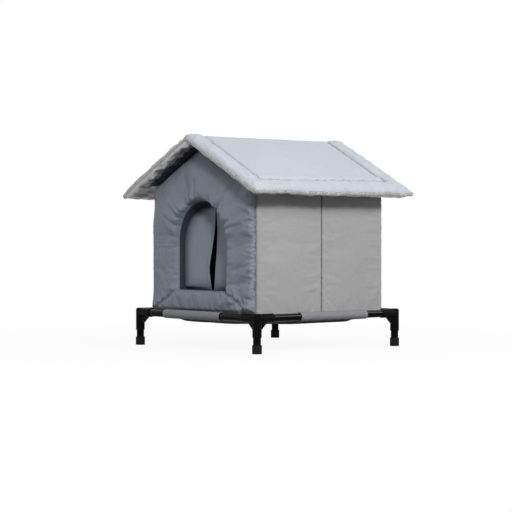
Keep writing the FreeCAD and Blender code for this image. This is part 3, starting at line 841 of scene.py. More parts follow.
def make_front_pad():
    """Arch and sill, swollen between the outer seams, the door edge and the slanting seams."""
    outline = gable_outline(house_half)
    door = arch_outline(0.0)
    sleeve_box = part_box("sling_sleeve_front")
    mitres = [
        [
            (side * (door_half - seam_clearance), door_sill - seam_clearance),
            (side * (house_half - seam_clearance), house_bottom + mitre_rise),
        ]
        for side in (1, -1)
    ]
    cut = cut_panel(outline, door, mitres, pad_step, 3)
    to_edge = distance_to(cut.flat, outline, True)
    to_door = distance_to(cut.flat, door, True)
    to_mitre = np.minimum(*(distance_to(cut.flat, mitre, False) for mitre in mitres))
    x, z = cut.flat[:, 0], cut.flat[:, 1]
    to_right = house_half - x
    to_left = house_half + x
    boxed = np.clip((boxed_reach - to_left) / boxed_fade, 0, 1)
    boxed *= np.clip((boxed_top - z) / boxed_top_fade, 0, 1)
    crown_width = pad_crown_width - (pad_crown_width - pad_boxed_width) * boxed
    swell = pad_crown * roundness(to_edge / crown_width) * roundness(to_door / pad_roll_width)
    swell *= 0.75 + 0.25 * roundness(to_mitre / mitre_dip_width)
    rim = door_rim * np.clip(1 - to_door / door_rim_width, 0, 1)
    climb = z - door_spring
    fullness = fullness_least + (climb + fullness_drop) / fullness_fade
    fullness = np.clip(fullness, fullness_least, fullness_most)
    reach = arch_reach + arch_reach_above * np.clip(climb / arch_fade, 0, 1)
    along_door = run_along(cut.flat, door, True)
    puckers = gathers(along_door, arch_pitch, 1.0) * near_seam(to_door, reach) * fullness
    puckers += 1.25 * gathers(z + 0.12 * x, right_pitch, 7.0) * near_seam(to_right, right_reach)
    puckers += 0.95 * gathers(z - 0.2 * x, right_long_pitch, 9.0) * near_seam(to_right, right_long_reach)
    around = np.arctan2(climb, x + fold_centre_left) * door_half
    over_arch = np.clip(climb / fold_fade, 0, 1) * np.clip(to_edge / fold_margin, 0, 1)
    folds = gathers(around, fold_pitch, 15.0) * near_seam(to_door, fold_reach) * over_arch
    above_base = np.clip((z - house_bottom) / base_fade, 0, 1)
    by_mitre = near_seam(to_mitre, sill_reach) * above_base
    puckers += 0.7 * gathers(0.8 * x + 0.2 * z, sill_pitch, 5.0) * by_mitre
    swell = swell + rim + pad_pucker * puckers + pad_fold * folds
    points = np.stack([x, seam_front - swell, z], axis=1)
    faces = turned_to(points, cut.faces, (0, -1, 0))
    held = np.zeros(len(points))
    held[cut.outline + cut.hole + cut.seams[0] + cut.seams[1]] = 1.0
    gathered = fullness * np.exp(-to_door / arch_slack_reach) + 0.9 * np.exp(-to_right / right_slack_reach)
    gathered += 0.7 * np.exp(-to_mitre / sill_reach) * above_base
    slack = pad_slack * np.clip(0.15 + gathered, 0, 1)
    front = simulated(points, faces, held, slack, pad_pressure)
    front[:, 1] -= pad_crease * (puckers + 1.2 * folds)
    beside_sleeve = front[:, 2] < sleeve_box[1].z + sleeve_margin
    front[beside_sleeve, 1] = np.maximum(front[beside_sleeve, 1], sleeve_box[1].y + sleeve_clearance)
    rim_points = front[cut.hole].copy()
    rim_points[:, 1] = seam_front
    count = len(front)
    back_door = [count + number for number in range(len(rim_points))]
    ring = np.array([cut.flat[number] for number in cut.outline + cut.hole])
    outer = len(cut.outline)
    inner = len(cut.hole)
    edges = [(number, (number + 1) % outer) for number in range(outer)]
    edges += [(outer + number, outer + (number + 1) % inner) for number in range(inner)]
    made = delaunay_2d_cdt([Vector(point) for point in ring], edges, [], 0, join_tolerance)
    back_faces = np.array([tuple(face) for face in made[2]])
    centres = ring[back_faces].mean(axis=1)
    back_faces = back_faces[within(centres, outline) & ~within(centres, door)]
    numbers = np.array(list(cut.outline) + back_door)
    all_faces = [tuple(face) for face in faces]
    all_faces += bridge(cut.hole, back_door, True)
    all_faces += [tuple(face) for face in numbers[back_faces]]
    flat = np.vstack([cut.flat, cut.flat[cut.hole]])
    pad = new_piece("front_pad", np.vstack([front, rim_points]), all_faces, flat)
    dressed(smoothed(pad), "house", front_cloth, ["front_arch_pad", "front_sill_pad"])
    rows = [(front[seam] - np.array([0, stitch_clearance, 0]), (0, -1, 0)) for seam in cut.seams]
    sewn_stitches("mitre_stitches", rows, "house", dark_thread)


reveal_inset = 0.0007
reveal_front = seam_front - 0.0042
reveal_back = lining_high.y + 0.0002
reveal_step = 0.004
reveal_fold = 0.0006
reveal_thickness = 0.0005


def make_door_reveal():
    """Cloth round the inside of the door opening, from the pad back to the lining, nearly black as painted
    shade.
    """
    ring = spaced(arch_outline(-reveal_inset, 60), reveal_step, True)
    depths = np.linspace(reveal_front, reveal_back, 7)
    points = []
    flat = []
    run = 0.0
    for number, (x, z) in enumerate(ring):
        before = Vector(ring[number - 1])
        run += (Vector((x, z)) - before).length if number else 0.0
        inward = (Vector((0.0, door_spring)) - Vector((x, z))).normalized()
        for depth_number, y in enumerate(depths):
            fold = noise.noise(Vector((run * 60, y * 40, 2.0)))
            dip = reveal_fold * max(0.0, fold) * math.sin(math.pi * depth_number / (len(depths) - 1))
            points.append((x + inward.x * dip, y, z + inward.y * dip))
            flat.append((run, y))
    rows = list(zip(*numbered(len(ring), len(depths))))
    reveal = new_piece("door_reveal", points, strips(rows, True), flat)
    dressed(thickened(reveal, reveal_thickness), "house", painted_shade_cloth)


lining_gap = 0.0002
lining_step = 0.009
lining_plane = lining_high.y - 0.0006
lining_wave = 0.0018
lining_door_margin = 0.016
lining_door_fade = 0.030
lining_edge_fade = 0.020
lining_weld = 0.00045


def make_front_lining():
    """Lining behind the front board, turned over the board's top and bottom."""
    outline = gable_outline(inner_half - lining_gap)
    door = arch_outline(0.0)
    cut = cut_panel(outline, door, [], lining_step, 11)
    to_door = distance_to(cut.flat, door, True)
    to_edge = distance_to(cut.flat, outline, True)
    slackness = np.clip((to_door - lining_door_margin) / lining_door_fade, 0, 1)
    slackness *= np.clip(to_edge / lining_edge_fade, 0, 1)
    fold = np.array([noise.noise(Vector((x * 22, z * 9, 4.0))) for x, z in cut.flat])
    y = lining_plane + lining_wave * slackness * np.clip(fold, 0, 1)
    points = [(place[0], depth, place[1]) for place, depth in zip(cut.flat, y)]
    faces = [tuple(face) for face in cut.faces]
    flat = [tuple(place) for place in cut.flat]
    ring = cut.outline + cut.outline[:1]
    reach = lining_low.y - seam_front
    for first, second in zip(ring, ring[1:]):
        (ax, az), (bx, bz) = cut.flat[first], cut.flat[second]
        if abs(bx - ax) < same_place:
            continue
        side = 1 if az > door_sill else -1
        count = len(points)
        for x, z in ((ax, az), (bx, bz)):
            points += [(x, lining_plane, z + side * lining_gap), (x, seam_front, z + side * lining_gap)]
            flat += [(x, z), (x, z + reach)]
        faces.append((count, count + 2, count + 3, count + 1))
    lining = welded(new_piece("front_lining_cloth", points, faces, flat), lining_weld)
    dressed(lining, "house", lining_cloth, ["front_lining"])


# Walls and floor
wall_slack = 0.006
wall_step = 0.0065
rear_step = 0.0075
floor_slack = 0.008
floor_step = 0.009


def make_walls():
    """Two padded panels to each side, meeting at the middle seam."""
    middle = (inner_half + house_half) / 2
    sizes = (house_half - inner_half, wall_edge, wall_slack, wall_step)
    spans = {"front": (seam_front, seam_middle), "rear": (seam_middle, rear_high.y)}
    for number, (part, (y_from, y_to)) in enumerate(spans.items()):
        outline = [(y_from, house_bottom), (y_to, house_bottom), (y_to, wall_top), (y_from, wall_top)]
        for side, side_name in ((1, "right"), (-1, "left")):
            def place(flat, rise, side=side):
                return np.stack([side * (middle + rise), flat[:, 0], flat[:, 1]], axis=1)

            sewn_panel(
                f"{side_name}_wall_{part}", outline, place, (side, 0, 0), sizes,
                20 + number, "house", side_cloth, f"{side_name}_wall_{part}_cover",
            )


def make_rear_wall():
    """Padded gable panel across the rear."""
    middle = (rear_low.y + rear_high.y) / 2
    sizes = (rear_high.y - rear_low.y, wall_edge, wall_slack, rear_step)

    def place(flat, rise):
        return np.stack([flat[:, 0], middle + rise, flat[:, 1]], axis=1)

    sewn_panel(
        "rear_wall", gable_outline(rear_high.x), place, (0, 1, 0), sizes,
        31, "house", wall_cloth, "rear_wall_cover",
    )


def make_floor():
    """Padded panel between the walls, lying on the sling."""
    middle = (floor_low.z + floor_high.z) / 2
    sizes = (floor_high.z - floor_low.z, floor_edge, floor_slack, floor_step)
    outline = [
        (floor_low.x, floor_low.y), (floor_high.x, floor_low.y), (floor_high.x, floor_high.y),
        (floor_low.x, floor_high.y),
    ]

    def place(flat, rise):
        return np.stack([flat[:, 0], flat[:, 1], middle + rise], axis=1)

    sewn_panel(
        "floor_panel", outline, place, (0, 0, 1), sizes,
        41, "house", lining_cloth, "floor_cover",
    )


# Door flaps: shares of the flap's height, of half the door's width and of the board's depth
flap_rise_shares = (0.0, 0.075, 0.3, 0.52, 0.75, 1.0)
left_edge_shares = (-0.05, -0.11, -0.17, -0.07, 0.04, 0.085)
right_edge_shares = (0.0, -0.01, -0.005, 0.045, 0.11, 0.1)
left_curl_shares = (0.0, 0.0, -0.1, -0.06, 0.0, 0.0)
right_curl_shares = (0.0, 0.08, 0.2, 0.24, 0.12, 0.0)
left_swell_shares = (0.58, 0.66, 0.74, 0.72, 0.6, 0.35)
right_swell_shares = (0.2, 0.2, 0.2, 0.15, 0.1, 0.0)
flap_side_gap = 0.0022
flap_hem = 0.008
easing_window = 31
flap_columns = 56
flap_rows = 84
flap_ripple = 0.0012
flap_tuck_gap = 0.001
flap_tuck_fade = 0.004
flap_sill_gap = 0.0015
flap_sill_fade = 0.006
flap_top_fade_share = 0.12
flap_stitch_gap = 0.0007
board_depth = lining_low.y - seam_front
hinge_height = left_flap_high.z - flap_thickness / 2
flap_bottom = left_flap_low.z
flap_hang = lining_high.y + 0.0004


def eased(shares, places):
    """Smooth curve through shares at the flap's heights."""
    fine = np.linspace(-0.2, 1.2, 281)
    curve = np.interp(fine, flap_rise_shares, shares)
    window = np.hanning(easing_window)
    padded = np.pad(curve, easing_window // 2, mode="edge")
    curve = np.convolve(padded, window / window.sum(), mode="valid")
    return np.interp(places, fine, curve)


def make_flap(name, side, edges, swells, curls, seed):
    """Hanging flap with a hemmed free edge; its outer margin swells forward in the opening."""
    across = flap_columns
    up = flap_rows
    rises = np.linspace(0, 1, up + 1)
    heights = flap_bottom + rises * (hinge_height - flap_bottom)
    above = np.clip(heights - door_spring, 0, None)
    ahead = np.sqrt((door_half - flap_side_gap) ** 2 - above ** 2)
    behind = np.sqrt((door_half + flap_overlap) ** 2 - above ** 2)
    tucked = np.clip((door_sill - flap_tuck_gap - heights) / flap_tuck_fade, 0, 1)
    outer = side * (ahead * (1 - tucked) + behind * tucked)
    free = eased(edges, rises) * door_half
    swell = eased(swells, rises) * board_depth * np.clip((1 - rises) / flap_top_fade_share, 0, 1) ** 0.8
    swell *= np.clip((heights - door_sill - flap_sill_gap) / flap_sill_fade, 0, 1) ** 0.7
    curl = eased(curls, rises) * board_depth
    points = []
    flat = []
    for row in range(up + 1):
        for column in range(across + 1):
            share = column / across
            x = outer[row] + (free[row] - outer[row]) * share
            bow = math.cos(share * math.pi / 2) ** 1.3
            crease = noise.noise(Vector((x * 38 + seed, heights[row] * 11, seed)))
            inside = math.sin(math.pi * min(1.0, share * 1.2)) if share < 0.83 else 0.0
            ripple = flap_ripple * crease * inside * math.sin(math.pi * rises[row])
            y = flap_hang + flap_thickness / 2 - swell[row] * bow + curl[row] * share ** 2 + ripple
            points.append((x, y, heights[row]))
            flat.append((x, heights[row]))
    rows = numbered(up + 1, across + 1)
    flap = new_piece(name + "_cloth", points, strips(rows, False), flat)
    hem = flap.vertex_groups.new(name="hem")
    for row, numbers in enumerate(rows):
        for number in numbers:
            x, _, z = points[number]
            near = abs(x - free[row]) < flap_hem or z - flap_bottom < flap_hem
            hem.add([number], 1.0 if near else 0.0, "REPLACE")
    thickness = thickened(flap, flap_thickness).modifiers["thickness"]
    thickness.vertex_group = "hem"
    thickness.thickness_vertex_group = 0.5
    dressed(smoothed(flap), name, flap_cloth, [name])
    grid = np.array(points).reshape(up + 1, across + 1, 3)
    stitched = []
    for row in range(4, up):
        share = 1 - flap_hem / abs(free[row] - outer[row])
        column = share * across
        stitched.append([np.interp(column, range(across + 1), grid[row, :, axis]) for axis in range(3)])
    stitched = np.array(stitched) - np.array([0, flap_stitch_gap, 0])
    stitches = sewn_stitches(name + "_stitches", [(stitched, (0, -1, 0))], name, dark_thread)


header_wave = 0.0003
header_weld = 0.00002
header_thickness_share = 0.8


def make_flap_header():
    """Band inside the arch from which the flaps hang, nearly black as painted shade."""
    half = door_half + flap_overlap
    across = 60
    up = 8
    base = header_low.z
    middle = (header_low.y + header_high.y) / 2
    angle = math.asin((base - door_spring) / half)
    reach = half * math.cos(angle)
    points = []
    flat = []
    for row in range(up + 1):
        for column in range(across + 1):
            x = -reach + 2 * reach * column / across
            top = door_spring + math.sqrt(max(half ** 2 - x ** 2, 0.0))
            z = base + (max(top, base) - base) * row / up
            wave = header_wave * noise.noise(Vector((x * 45, z * 45, 7.0)))
            points.append((x, middle + wave, z))
            flat.append((x, z))
    header = new_piece("flap_header_band", points, strips(numbered(up + 1, across + 1), False), flat)
    welded(header, header_weld)
    thickened(header, flap_thickness * header_thickness_share)
    dressed(header, "house", painted_shade_cloth, ["flap_header"])


# Roof
eave_tape_room = 0.0015
eave_run = (eave_high.x - roof_middle * math.sin(roof_pitch)) / math.cos(roof_pitch) - eave_tape_room
ridge_radius = ridge_rounding / math.tan(roof_pitch)
ridge_arc = ridge_radius * roof_pitch
ridge_start = ridge_rounding - roof_thickness * math.tan(roof_pitch)
slope_reach = ridge_arc + eave_run - ridge_start

# The roof's waves and slack, then the pitch and reach of its puckers
eave_wave = 0.0030
eave_scallop = 0.0016
edge_fade = 0.030
field_slack = 0.0006
border_slack = 0.02
under_slack = 0.05
under_crumple = 0.006
border_crown = 0.0025
roof_hem = 0.014
left_droop = 0.005
roof_crease = 0.0065
roof_step = 0.007
ridge_margin = 0.004
groove_side = 0.0045
groove_fade = 0.012
eave_band = 0.020
eave_pucker_fade = 0.100
quilt_pitch = 0.017
edge_pitch = 0.024
pucker_reach = 0.018
field_hold_reach = 0.060
field_hold_share = 0.35
groove_slack = 0.015
groove_slack_reach = 0.020
top_pressure = 1.2
under_pressure = 0.4
crumple_fade = 0.012
house_margin = 0.006
pad_margin = 0.004
room_margin = 0.002
room_overhang = 0.012
quilt_s = slope_reach - quilt_border
quilt_y = roof_half_length - quilt_border
# Roof cloth with painted shade along its quilting grooves
roof_cloth = woven("roof_cloth", (0.56, 0.605, 0.66), 1.1, 0.62, painted_shade=quilting_painted_shade)


def slope_point(run, height):
    """Place on the right slope: run down its underside from the ridge, height above it."""
    x = run * math.cos(roof_pitch) + height * math.sin(roof_pitch)
    z = ridge_under - run * math.sin(roof_pitch) + height * math.cos(roof_pitch)
    return x, z


def edge_ripple(flat, seed):
    """Gathered edges: how far each roof point is lifted, and drawn in along the slope."""
    to_eave = slope_reach - np.abs(flat[:, 0])
    to_gable = roof_body_half_length - np.abs(flat[:, 1])
    lift = np.zeros(len(flat))
    draw = np.zeros(len(flat))
    for number, (s, y) in enumerate(flat):
        fade_eave = max(0.0, 1 - to_eave[number] / edge_fade)
        fade_gable = max(0.0, 1 - to_gable[number] / edge_fade)
        side = 1 if s > 0 else -1
        eave = noise.noise(Vector((y * 21, side * 3.0, seed)))
        eave += 0.6 * noise.noise(Vector((y * 52, side * 5.0, seed)))
        gable = noise.noise(Vector((s * 24, 9.0 if y > 0 else -9.0, seed)))
        lift[number] = eave_wave * (fade_eave * eave + 0.4 * fade_gable * gable)
        if s < 0:
            lift[number] -= left_droop * fade_eave
        scallop = 0.5 + 0.8 * noise.noise(Vector((y * 30, side * 7.0, seed)))
        draw[number] = eave_scallop * fade_eave * scallop
    return lift, draw


def roof_top_place(flat, height, draw):
    """Places over both slopes; flat is (distance from the ridge, y), height from the underside."""
    s = flat[:, 0]
    side = np.where(s >= 0, 1.0, -1.0)
    reach = np.abs(s) - draw
    angle = np.minimum(reach / ridge_radius, roof_pitch)
    run = np.maximum(reach - ridge_arc, 0) + ridge_start
    x, z = slope_point(run, roof_thickness)
    crest_z = slope_point(ridge_start, roof_thickness)[1]
    centre_z = crest_z - ridge_radius * math.cos(roof_pitch)
    round_x = ridge_radius * np.sin(angle)
    round_z = centre_z + ridge_radius * np.cos(angle)
    on_ridge = reach < ridge_arc
    x = np.where(on_ridge, round_x, x)
    z = np.where(on_ridge, round_z, z)
    over = height - roof_thickness
    x = x + over * np.sin(angle)
    z = z + over * np.cos(angle)
    return np.stack([side * x, flat[:, 1], z], axis=1)


def roof_under_place(flat, height, draw):
    """Places under both slopes, at a height from the underside."""
    side = np.where(flat[:, 0] >= 0, 1.0, -1.0)
    run = np.abs(flat[:, 0]) / slope_reach * eave_run - draw
    x, z = slope_point(run, height)
    ridge_height = height / math.cos(roof_pitch)
    x = np.where(run < same_place, 0, x)
    z = np.where(run < same_place, ridge_under + ridge_height, z)
    return np.stack([side * np.maximum(x, 0), flat[:, 1], z], axis=1)


def sides_of(corners):
    """The straight sides of a closed outline, each as a line of two points."""
    return [[first, second] for first, second in zip(corners, corners[1:] + corners[:1])]


def make_roof():
    """Quilted cover over both slopes with its creased lining beneath, and the bound edges."""
    reach = slope_reach
    length = roof_body_half_length
    outline = [(-reach, -length), (reach, -length), (reach, length), (-reach, length)]
    corners = [(-quilt_s, -quilt_y), (quilt_s, -quilt_y), (quilt_s, quilt_y), (-quilt_s, quilt_y)]
    stops = (-length, -quilt_y, quilt_y, length)
    ridge = [
        [(0.0, first + ridge_margin), (0.0, second - ridge_margin)] for first, second in zip(stops, stops[1:])
    ]
    beside = []
    for shift in (-groove_side, groove_side):
        beside += sides_of(
            [(math.copysign(quilt_s + shift, s), math.copysign(quilt_y + shift, y)) for s, y in corners]
        )
    cut = cut_panel(outline, None, sides_of(corners) + ridge + beside, roof_step, 5)
    flat = cut.flat
    to_edge = distance_to(flat, outline, True)
    to_quilt = distance_to(flat, corners, True)
    lift, draw = edge_ripple(flat, 1.7)
    field = (np.abs(flat[:, 0]) < quilt_s) & (np.abs(flat[:, 1]) < quilt_y)
    swell = (roof_thickness - roof_edge) / 2
    height = roof_middle + roof_edge / 2 + swell * roundness(to_edge / roof_edge_taper)
    border = ~field & (to_quilt > 0)
    height += border_crown * np.sin(np.pi * np.clip(to_quilt / quilt_border, 0, 1)) * border
    height -= quilt_depth * (1 - roundness(to_quilt / groove_fade))
    by_eave = np.abs(flat[:, 0]) > quilt_s - eave_band
    slant = np.where(flat[:, 1] > 0, 0.5, 0.2)
    along = np.where(by_eave, flat[:, 1] + slant * np.abs(flat[:, 0]), flat[:, 0] + 0.2 * flat[:, 1])
    rearward = np.clip(flat[:, 1] / eave_pucker_fade, -1, 1)
    fullness = np.where(by_eave, 0.85 + 0.45 * rearward, 0.35)
    puckers = gathers(along, quilt_pitch, 3.0) * near_seam(to_quilt, pucker_reach) * fullness
    puckers += gathers(along, edge_pitch, 8.0) * near_seam(to_edge, pucker_reach) * np.where(field, 0, 0.6)
    top = roof_top_place(flat, height + lift + quilt_pucker * puckers, draw)
    faces = turned_to(top, cut.faces, (0, 0, 1))
    stitched = sum(cut.seams[:4], [])
    held = np.where(field, np.clip(to_quilt / field_hold_reach, 0.0, field_hold_share), 0.0)
    held[cut.outline + stitched] = 1.0
    slack = np.where(field, field_slack, border_slack)
    slack += groove_slack * np.clip(1 - to_quilt / groove_slack_reach, 0, 1) * field
    top = simulated(top, faces, held, slack, top_pressure)
    top[:, 2] += roof_crease * puckers
    under_height = roof_middle - roof_edge / 2 - swell * roundness(to_edge / roof_edge_taper)
    under = roof_under_place(flat, under_height + lift, draw)
    over_house = np.abs(under[:, 0]) < house_half + house_margin
    over_house &= under[:, 1] > pad_front - pad_margin
    over_house &= under[:, 1] < rear_high.y + house_margin
    crumple = np.array([abs(noise.noise(Vector((s * 34, y * 20, 6.0)))) for s, y in flat])
    crumple *= np.clip(to_edge / crumple_fade, 0, 1) * np.where(over_house, 0, 1)
    under = roof_under_place(flat, under_height + lift - under_crumple * (crumple - 0.15), draw)
    under_faces = turned_to(under, cut.faces, (0, 0, -1))
    held = np.where(over_house, 1.0, 0.0)
    held[cut.outline] = 1.0
    slack = np.where(over_house, 0.0, under_slack)
    under = simulated(under, under_faces, held, slack, under_pressure)
    count = len(flat)
    opposite = [number + count for number in cut.outline]
    all_faces = [tuple(face) for face in faces] + [tuple(face + count) for face in under_faces]
    all_faces += bridge(cut.outline, opposite, True)
    roof = new_piece("roof_quilt", np.vstack([top, under]), all_faces, np.vstack([flat, flat]))
    dressed(smoothed(roof), "roof", roof_cloth, ["roof_cover"])
    for finish in (roof_foil, roof_foil_painted_shade, painted_shade_cloth):
        roof.data.materials.append(finish)
    # Painted shade under the roof: pale foil within roof_hem of the edges, its darker copy further in, and
    # nearly black cloth over the room as painted shadow next to the walls
    room_painted_shadow = np.abs(under[:, 0]) < house_half - room_margin
    room_painted_shadow &= np.abs(flat[:, 1]) < -pad_front + room_overhang
    zones = np.where(to_edge < roof_hem, 1, np.where(room_painted_shadow, 3, 2))
    lining = [0] * len(faces) + [int(np.median(zones[face])) for face in under_faces]
    lining += [1] * (len(all_faces) - len(lining))
    roof.data.polygons.foreach_set("material_index", lining)
    up_right = np.array([math.sin(roof_pitch), 0, math.cos(roof_pitch)])
    rows = []
    for seam in cut.seams[:4]:
        line = top[seam]
        for side in (1, -1):
            part = line[line[:, 0] * side >= 0]
            if len(part) > 2:
                rows.append((part, up_right * np.array([side, 1, 1])))
    sewn_stitches("quilting_stitches", rows, "roof", seam_thread)
    make_bindings(cut, top, under)


binding_width = 0.0080
binding_thickness = 0.0024
binding_sides = 14
binding_out = 0.0006
binding_tuck = 0.0007
tooth_pitch = 0.0085
roof_heart = np.array([0, 0, 0.42])


def make_bindings(cut, top, under):
    """Soft tape swept along each edge of the roof, over the joint of cover and lining."""
    length = roof_body_half_length
    edges = {
        "roof_right_eave_binding": lambda s, y: s > slope_reach - same_place,
        "roof_left_eave_binding": lambda s, y: s < -slope_reach + same_place,
        "roof_front_binding": lambda s, y: y < -length + same_place,
        "roof_rear_binding": lambda s, y: y > length - same_place,
    }
    sides = binding_sides
    joints = []
    for edge_number, (node, belongs) in enumerate(edges.items()):
        numbers = [number for number in cut.outline if belongs(*cut.flat[number])]
        by_eave = "eave" in node
        numbers.sort(key=lambda number: cut.flat[number][1 if by_eave else 0])
        path = (top[numbers] + under[numbers]) / 2
        points = []
        flat = []
        run = 0.0
        for number, place in enumerate(path):
            before = path[max(number - 1, 0)]
            after = path[min(number + 1, len(path) - 1)]
            along = (after - before) / np.linalg.norm(after - before)
            run += float(np.linalg.norm(place - before))
            up = top[numbers[number]] - under[numbers[number]]
            up = up / np.linalg.norm(up)
            out = np.cross(along, up)
            out = out / np.linalg.norm(out)
            if out @ (place - roof_heart) < 0:
                out = -out
            uneven = 0.3 * noise.noise(Vector((run * 40, edge_number, 7.0)))
            tooth = abs((run / tooth_pitch + uneven) % 1 - 0.5)
            fray = 0.78 + 0.8 * tooth + 0.3 * noise.noise(Vector((run * 95, edge_number * 4.0, 0.0)))
            tuck = binding_tuck * noise.noise(Vector((run * 60, edge_number * 4.0, 3.0)))
            for side in range(sides):
                angle = 2 * math.pi * side / sides
                tall = math.copysign(abs(math.sin(angle)) ** 0.75, math.sin(angle))
                ragged = 1 + 0.22 * noise.noise(Vector((run * 220, side * 1.7, edge_number * 4.0)))
                wide = math.cos(angle) * binding_thickness / 2 * fray * ragged
                rise = tall * binding_width / 2 * fray + tuck
                points.append(place + out * (binding_out + wide) + up * rise)
                flat.append((run, binding_width * 2 * side / sides))
        rows = numbered(len(path), sides)
        faces = [rows[0][::-1], rows[-1]] + strips(rows, True)
        ups = top[numbers] - under[numbers]
        ups = ups / np.linalg.norm(ups, axis=1)[:, None]
        joints.append((path + ups * binding_width * 0.5, ups[len(ups) // 2]))
        tape = new_piece(node + "_tape", points, faces, flat)
        dressed(smoothed(tape), "roof", edge_binding, [node])
    sewn_stitches("binding_stitches", joints, "roof", dark_thread)


tape_rounding = 0.0005
tape_weld = 0.00001
tape_flatness = 0.02


def make_tapes():
    """Hook strips on the gable walls and loop strips under the roof, with rounded edges."""
    for node, body in (("gable_hook_tapes", "house"), ("roof_loop_tapes", "roof")):
        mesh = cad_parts[node].data.copy()
        tapes = placed(node + "_strips", mesh)
        work = bmesh.new()
        work.from_mesh(mesh)
        bmesh.ops.remove_doubles(work, verts=work.verts, dist=tape_weld)
        bmesh.ops.dissolve_limit(work, angle_limit=tape_flatness, verts=work.verts, edges=work.edges)
        bmesh.ops.bevel(
            work, geom=list(work.edges), offset=tape_rounding, segments=3, profile=0.6, affect="EDGES",
            clamp_overlap=True,
        )
        work.to_mesh(mesh)
        work.free()
        mesh.materials.clear()
        for key in list(tapes.keys()):
            del tapes[key]
        dressed(tapes, body, grip_tape, [node])


# Cot: for each rail its direction, the way in from it and a seed for the creases of its sleeve
rails = {
    "front": ((1, 0, 0), (0, 1, 0), 1.3),
    "right": ((0, 1, 0), (-1, 0, 0), 4.1),
    "rear": ((1, 0, 0), (0, -1, 0), 7.7),
    "left": ((0, 1, 0), (1, 0, 0), 9.2),
}
sling_give = 0.004
sling_step = 0.009
sling_rim = 0.016
sling_fall = 0.030
sling_fold = 0.0009
sling_cloth_share = 0.9


def make_sling():
    """Octagon of cloth slung between the rails, with a shallow sag and slack folds."""
    front_low, front_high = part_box("sling_sleeve_front")
    right_low, right_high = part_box("sling_sleeve_right")
    x_from, x_to = front_low.x, front_high.x
    y_from, y_to = right_low.y, right_high.y
    outline = [
        (x_from, sling_low.y), (x_to, sling_low.y), (sling_high.x, y_from), (sling_high.x, y_to),
        (x_to, sling_high.y), (x_from, sling_high.y), (sling_low.x, y_to), (sling_low.x, y_from),
    ]
    cut = cut_panel(outline, None, [], sling_step, 61)
    inset = distance_to(cut.flat, outline, True)
    middle = sling_high.z - sling_thickness / 2
    sag = sling_high.z - sling_low.z - sling_thickness + sling_give
    share = np.clip((inset - sling_rim) / sling_fall, 0, 1)
    fold = np.array([noise.noise(Vector((x * 12, y * 12, 5.0))) for x, y in cut.flat])
    z = middle - sag * share * share * (3 - 2 * share) + sling_fold * fold * share
    points = np.stack([cut.flat[:, 0], cut.flat[:, 1], z], axis=1)
    sling = new_piece("sling_sheet", points, cut.faces, cut.flat)
    thickened(sling, sling_thickness * sling_cloth_share)
    dressed(smoothed(sling), "cot", sling_weave, ["sling_cloth"])


sleeve_step = 0.0026
sleeve_thickness = 0.0008
sleeve_tail_step = 0.0025
sleeve_tail_points = 8
sleeve_turn_points = 44
sleeve_wrap = math.radians(330)
sleeve_swell = 0.00055
sleeve_crease = 0.0005
sleeve_hem = 0.00035
sleeve_hem_width = 0.005
sleeve_seam_in = 0.0145
sleeve_seam_rise = 0.0004
sleeve_seam_margin = 0.003


def make_sleeve(rail, along, inward, seed):
    """Loop of cloth sewn round a rail, creased, with its tail lying on the sling."""
    low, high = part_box("sling_sleeve_" + rail)
    rail_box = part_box("rail_" + rail)
    axis = (rail_box[0] + rail_box[1]) / 2
    length = (high - low).dot(along)
    centre_along = ((high + low) / 2).dot(along)
    origin = axis - along * axis.dot(along) + along * centre_along
    section = [(sleeve_tail - step * sleeve_tail_step, -sleeve_radius) for step in range(sleeve_tail_points)]
    turns = np.linspace(-math.pi / 2, -math.pi / 2 - sleeve_wrap, sleeve_turn_points)
    section += [(sleeve_radius * math.cos(turn), sleeve_radius * math.sin(turn)) for turn in turns]
    last_in, last_up = section[-1]
    upper = -sleeve_radius + sling_thickness * 0.8
    section += [
        (last_in + (sleeve_tail - last_in) * step / 6, last_up + (upper - last_up) * min(1.0, step / 2))
        for step in range(1, 7)
    ]
    columns = int(length / sleeve_step)
    points = []
    flat = []
    run = 0.0
    for number, (reach_in, rise) in enumerate(section):
        before = section[max(number - 1, 0)]
        run += math.hypot(reach_in - before[0], rise - before[1])
        on_rail = sleeve_tail_points <= number < sleeve_tail_points + sleeve_turn_points
        for column in range(columns + 1):
            t = (column / columns - 0.5) * length
            diagonal = noise.noise(Vector((t * 75 + rise * 90, reach_in * 60 + seed, seed)))
            crease = 1 - abs(noise.noise(Vector((t * 48 - rise * 110, reach_in * 40, seed + 5)))) * 3
            bulge = sleeve_swell * max(0.0, diagonal) + sleeve_crease * max(0.0, crease)
            end_hem = sleeve_hem if length / 2 - abs(t) < sleeve_hem_width else 0.0
            spread = 1 + (bulge + end_hem) / sleeve_radius if on_rail else 1.0
            upright = Vector((0, 0, rise * spread))
            points.append(origin + along * t + inward * reach_in * spread + upright)
            flat.append((t, run))
    rows = numbered(len(section), columns + 1)
    sleeve = new_piece("sleeve_" + rail, points, strips(rows, False), flat)
    thickened(sleeve, sleeve_thickness)
    dressed(smoothed(sleeve), "cot", sleeve_cloth, ["sling_sleeve_" + rail])
    on_seam = origin + inward * sleeve_seam_in + Vector((0, 0, upper + sleeve_seam_rise))
    seam_half = length / 2 - sleeve_seam_margin
    stitch_place = [on_seam + along * t for t in np.linspace(-seam_half, seam_half, 40)]
    stitches = sewn_stitches(
        "sleeve_stitches_" + rail, [(stitch_place, (0, 0, 1))], "cot", dark_thread
    )


packed_finishes = {
    "rail": (tube_enamel, "tube_paint"),
    "leg": (tube_enamel, "tube_paint"),
    "corner": (fitting_nylon, "fitting_plastic"),
    "foot": (foot_rubber, "foot_rubber"),
}


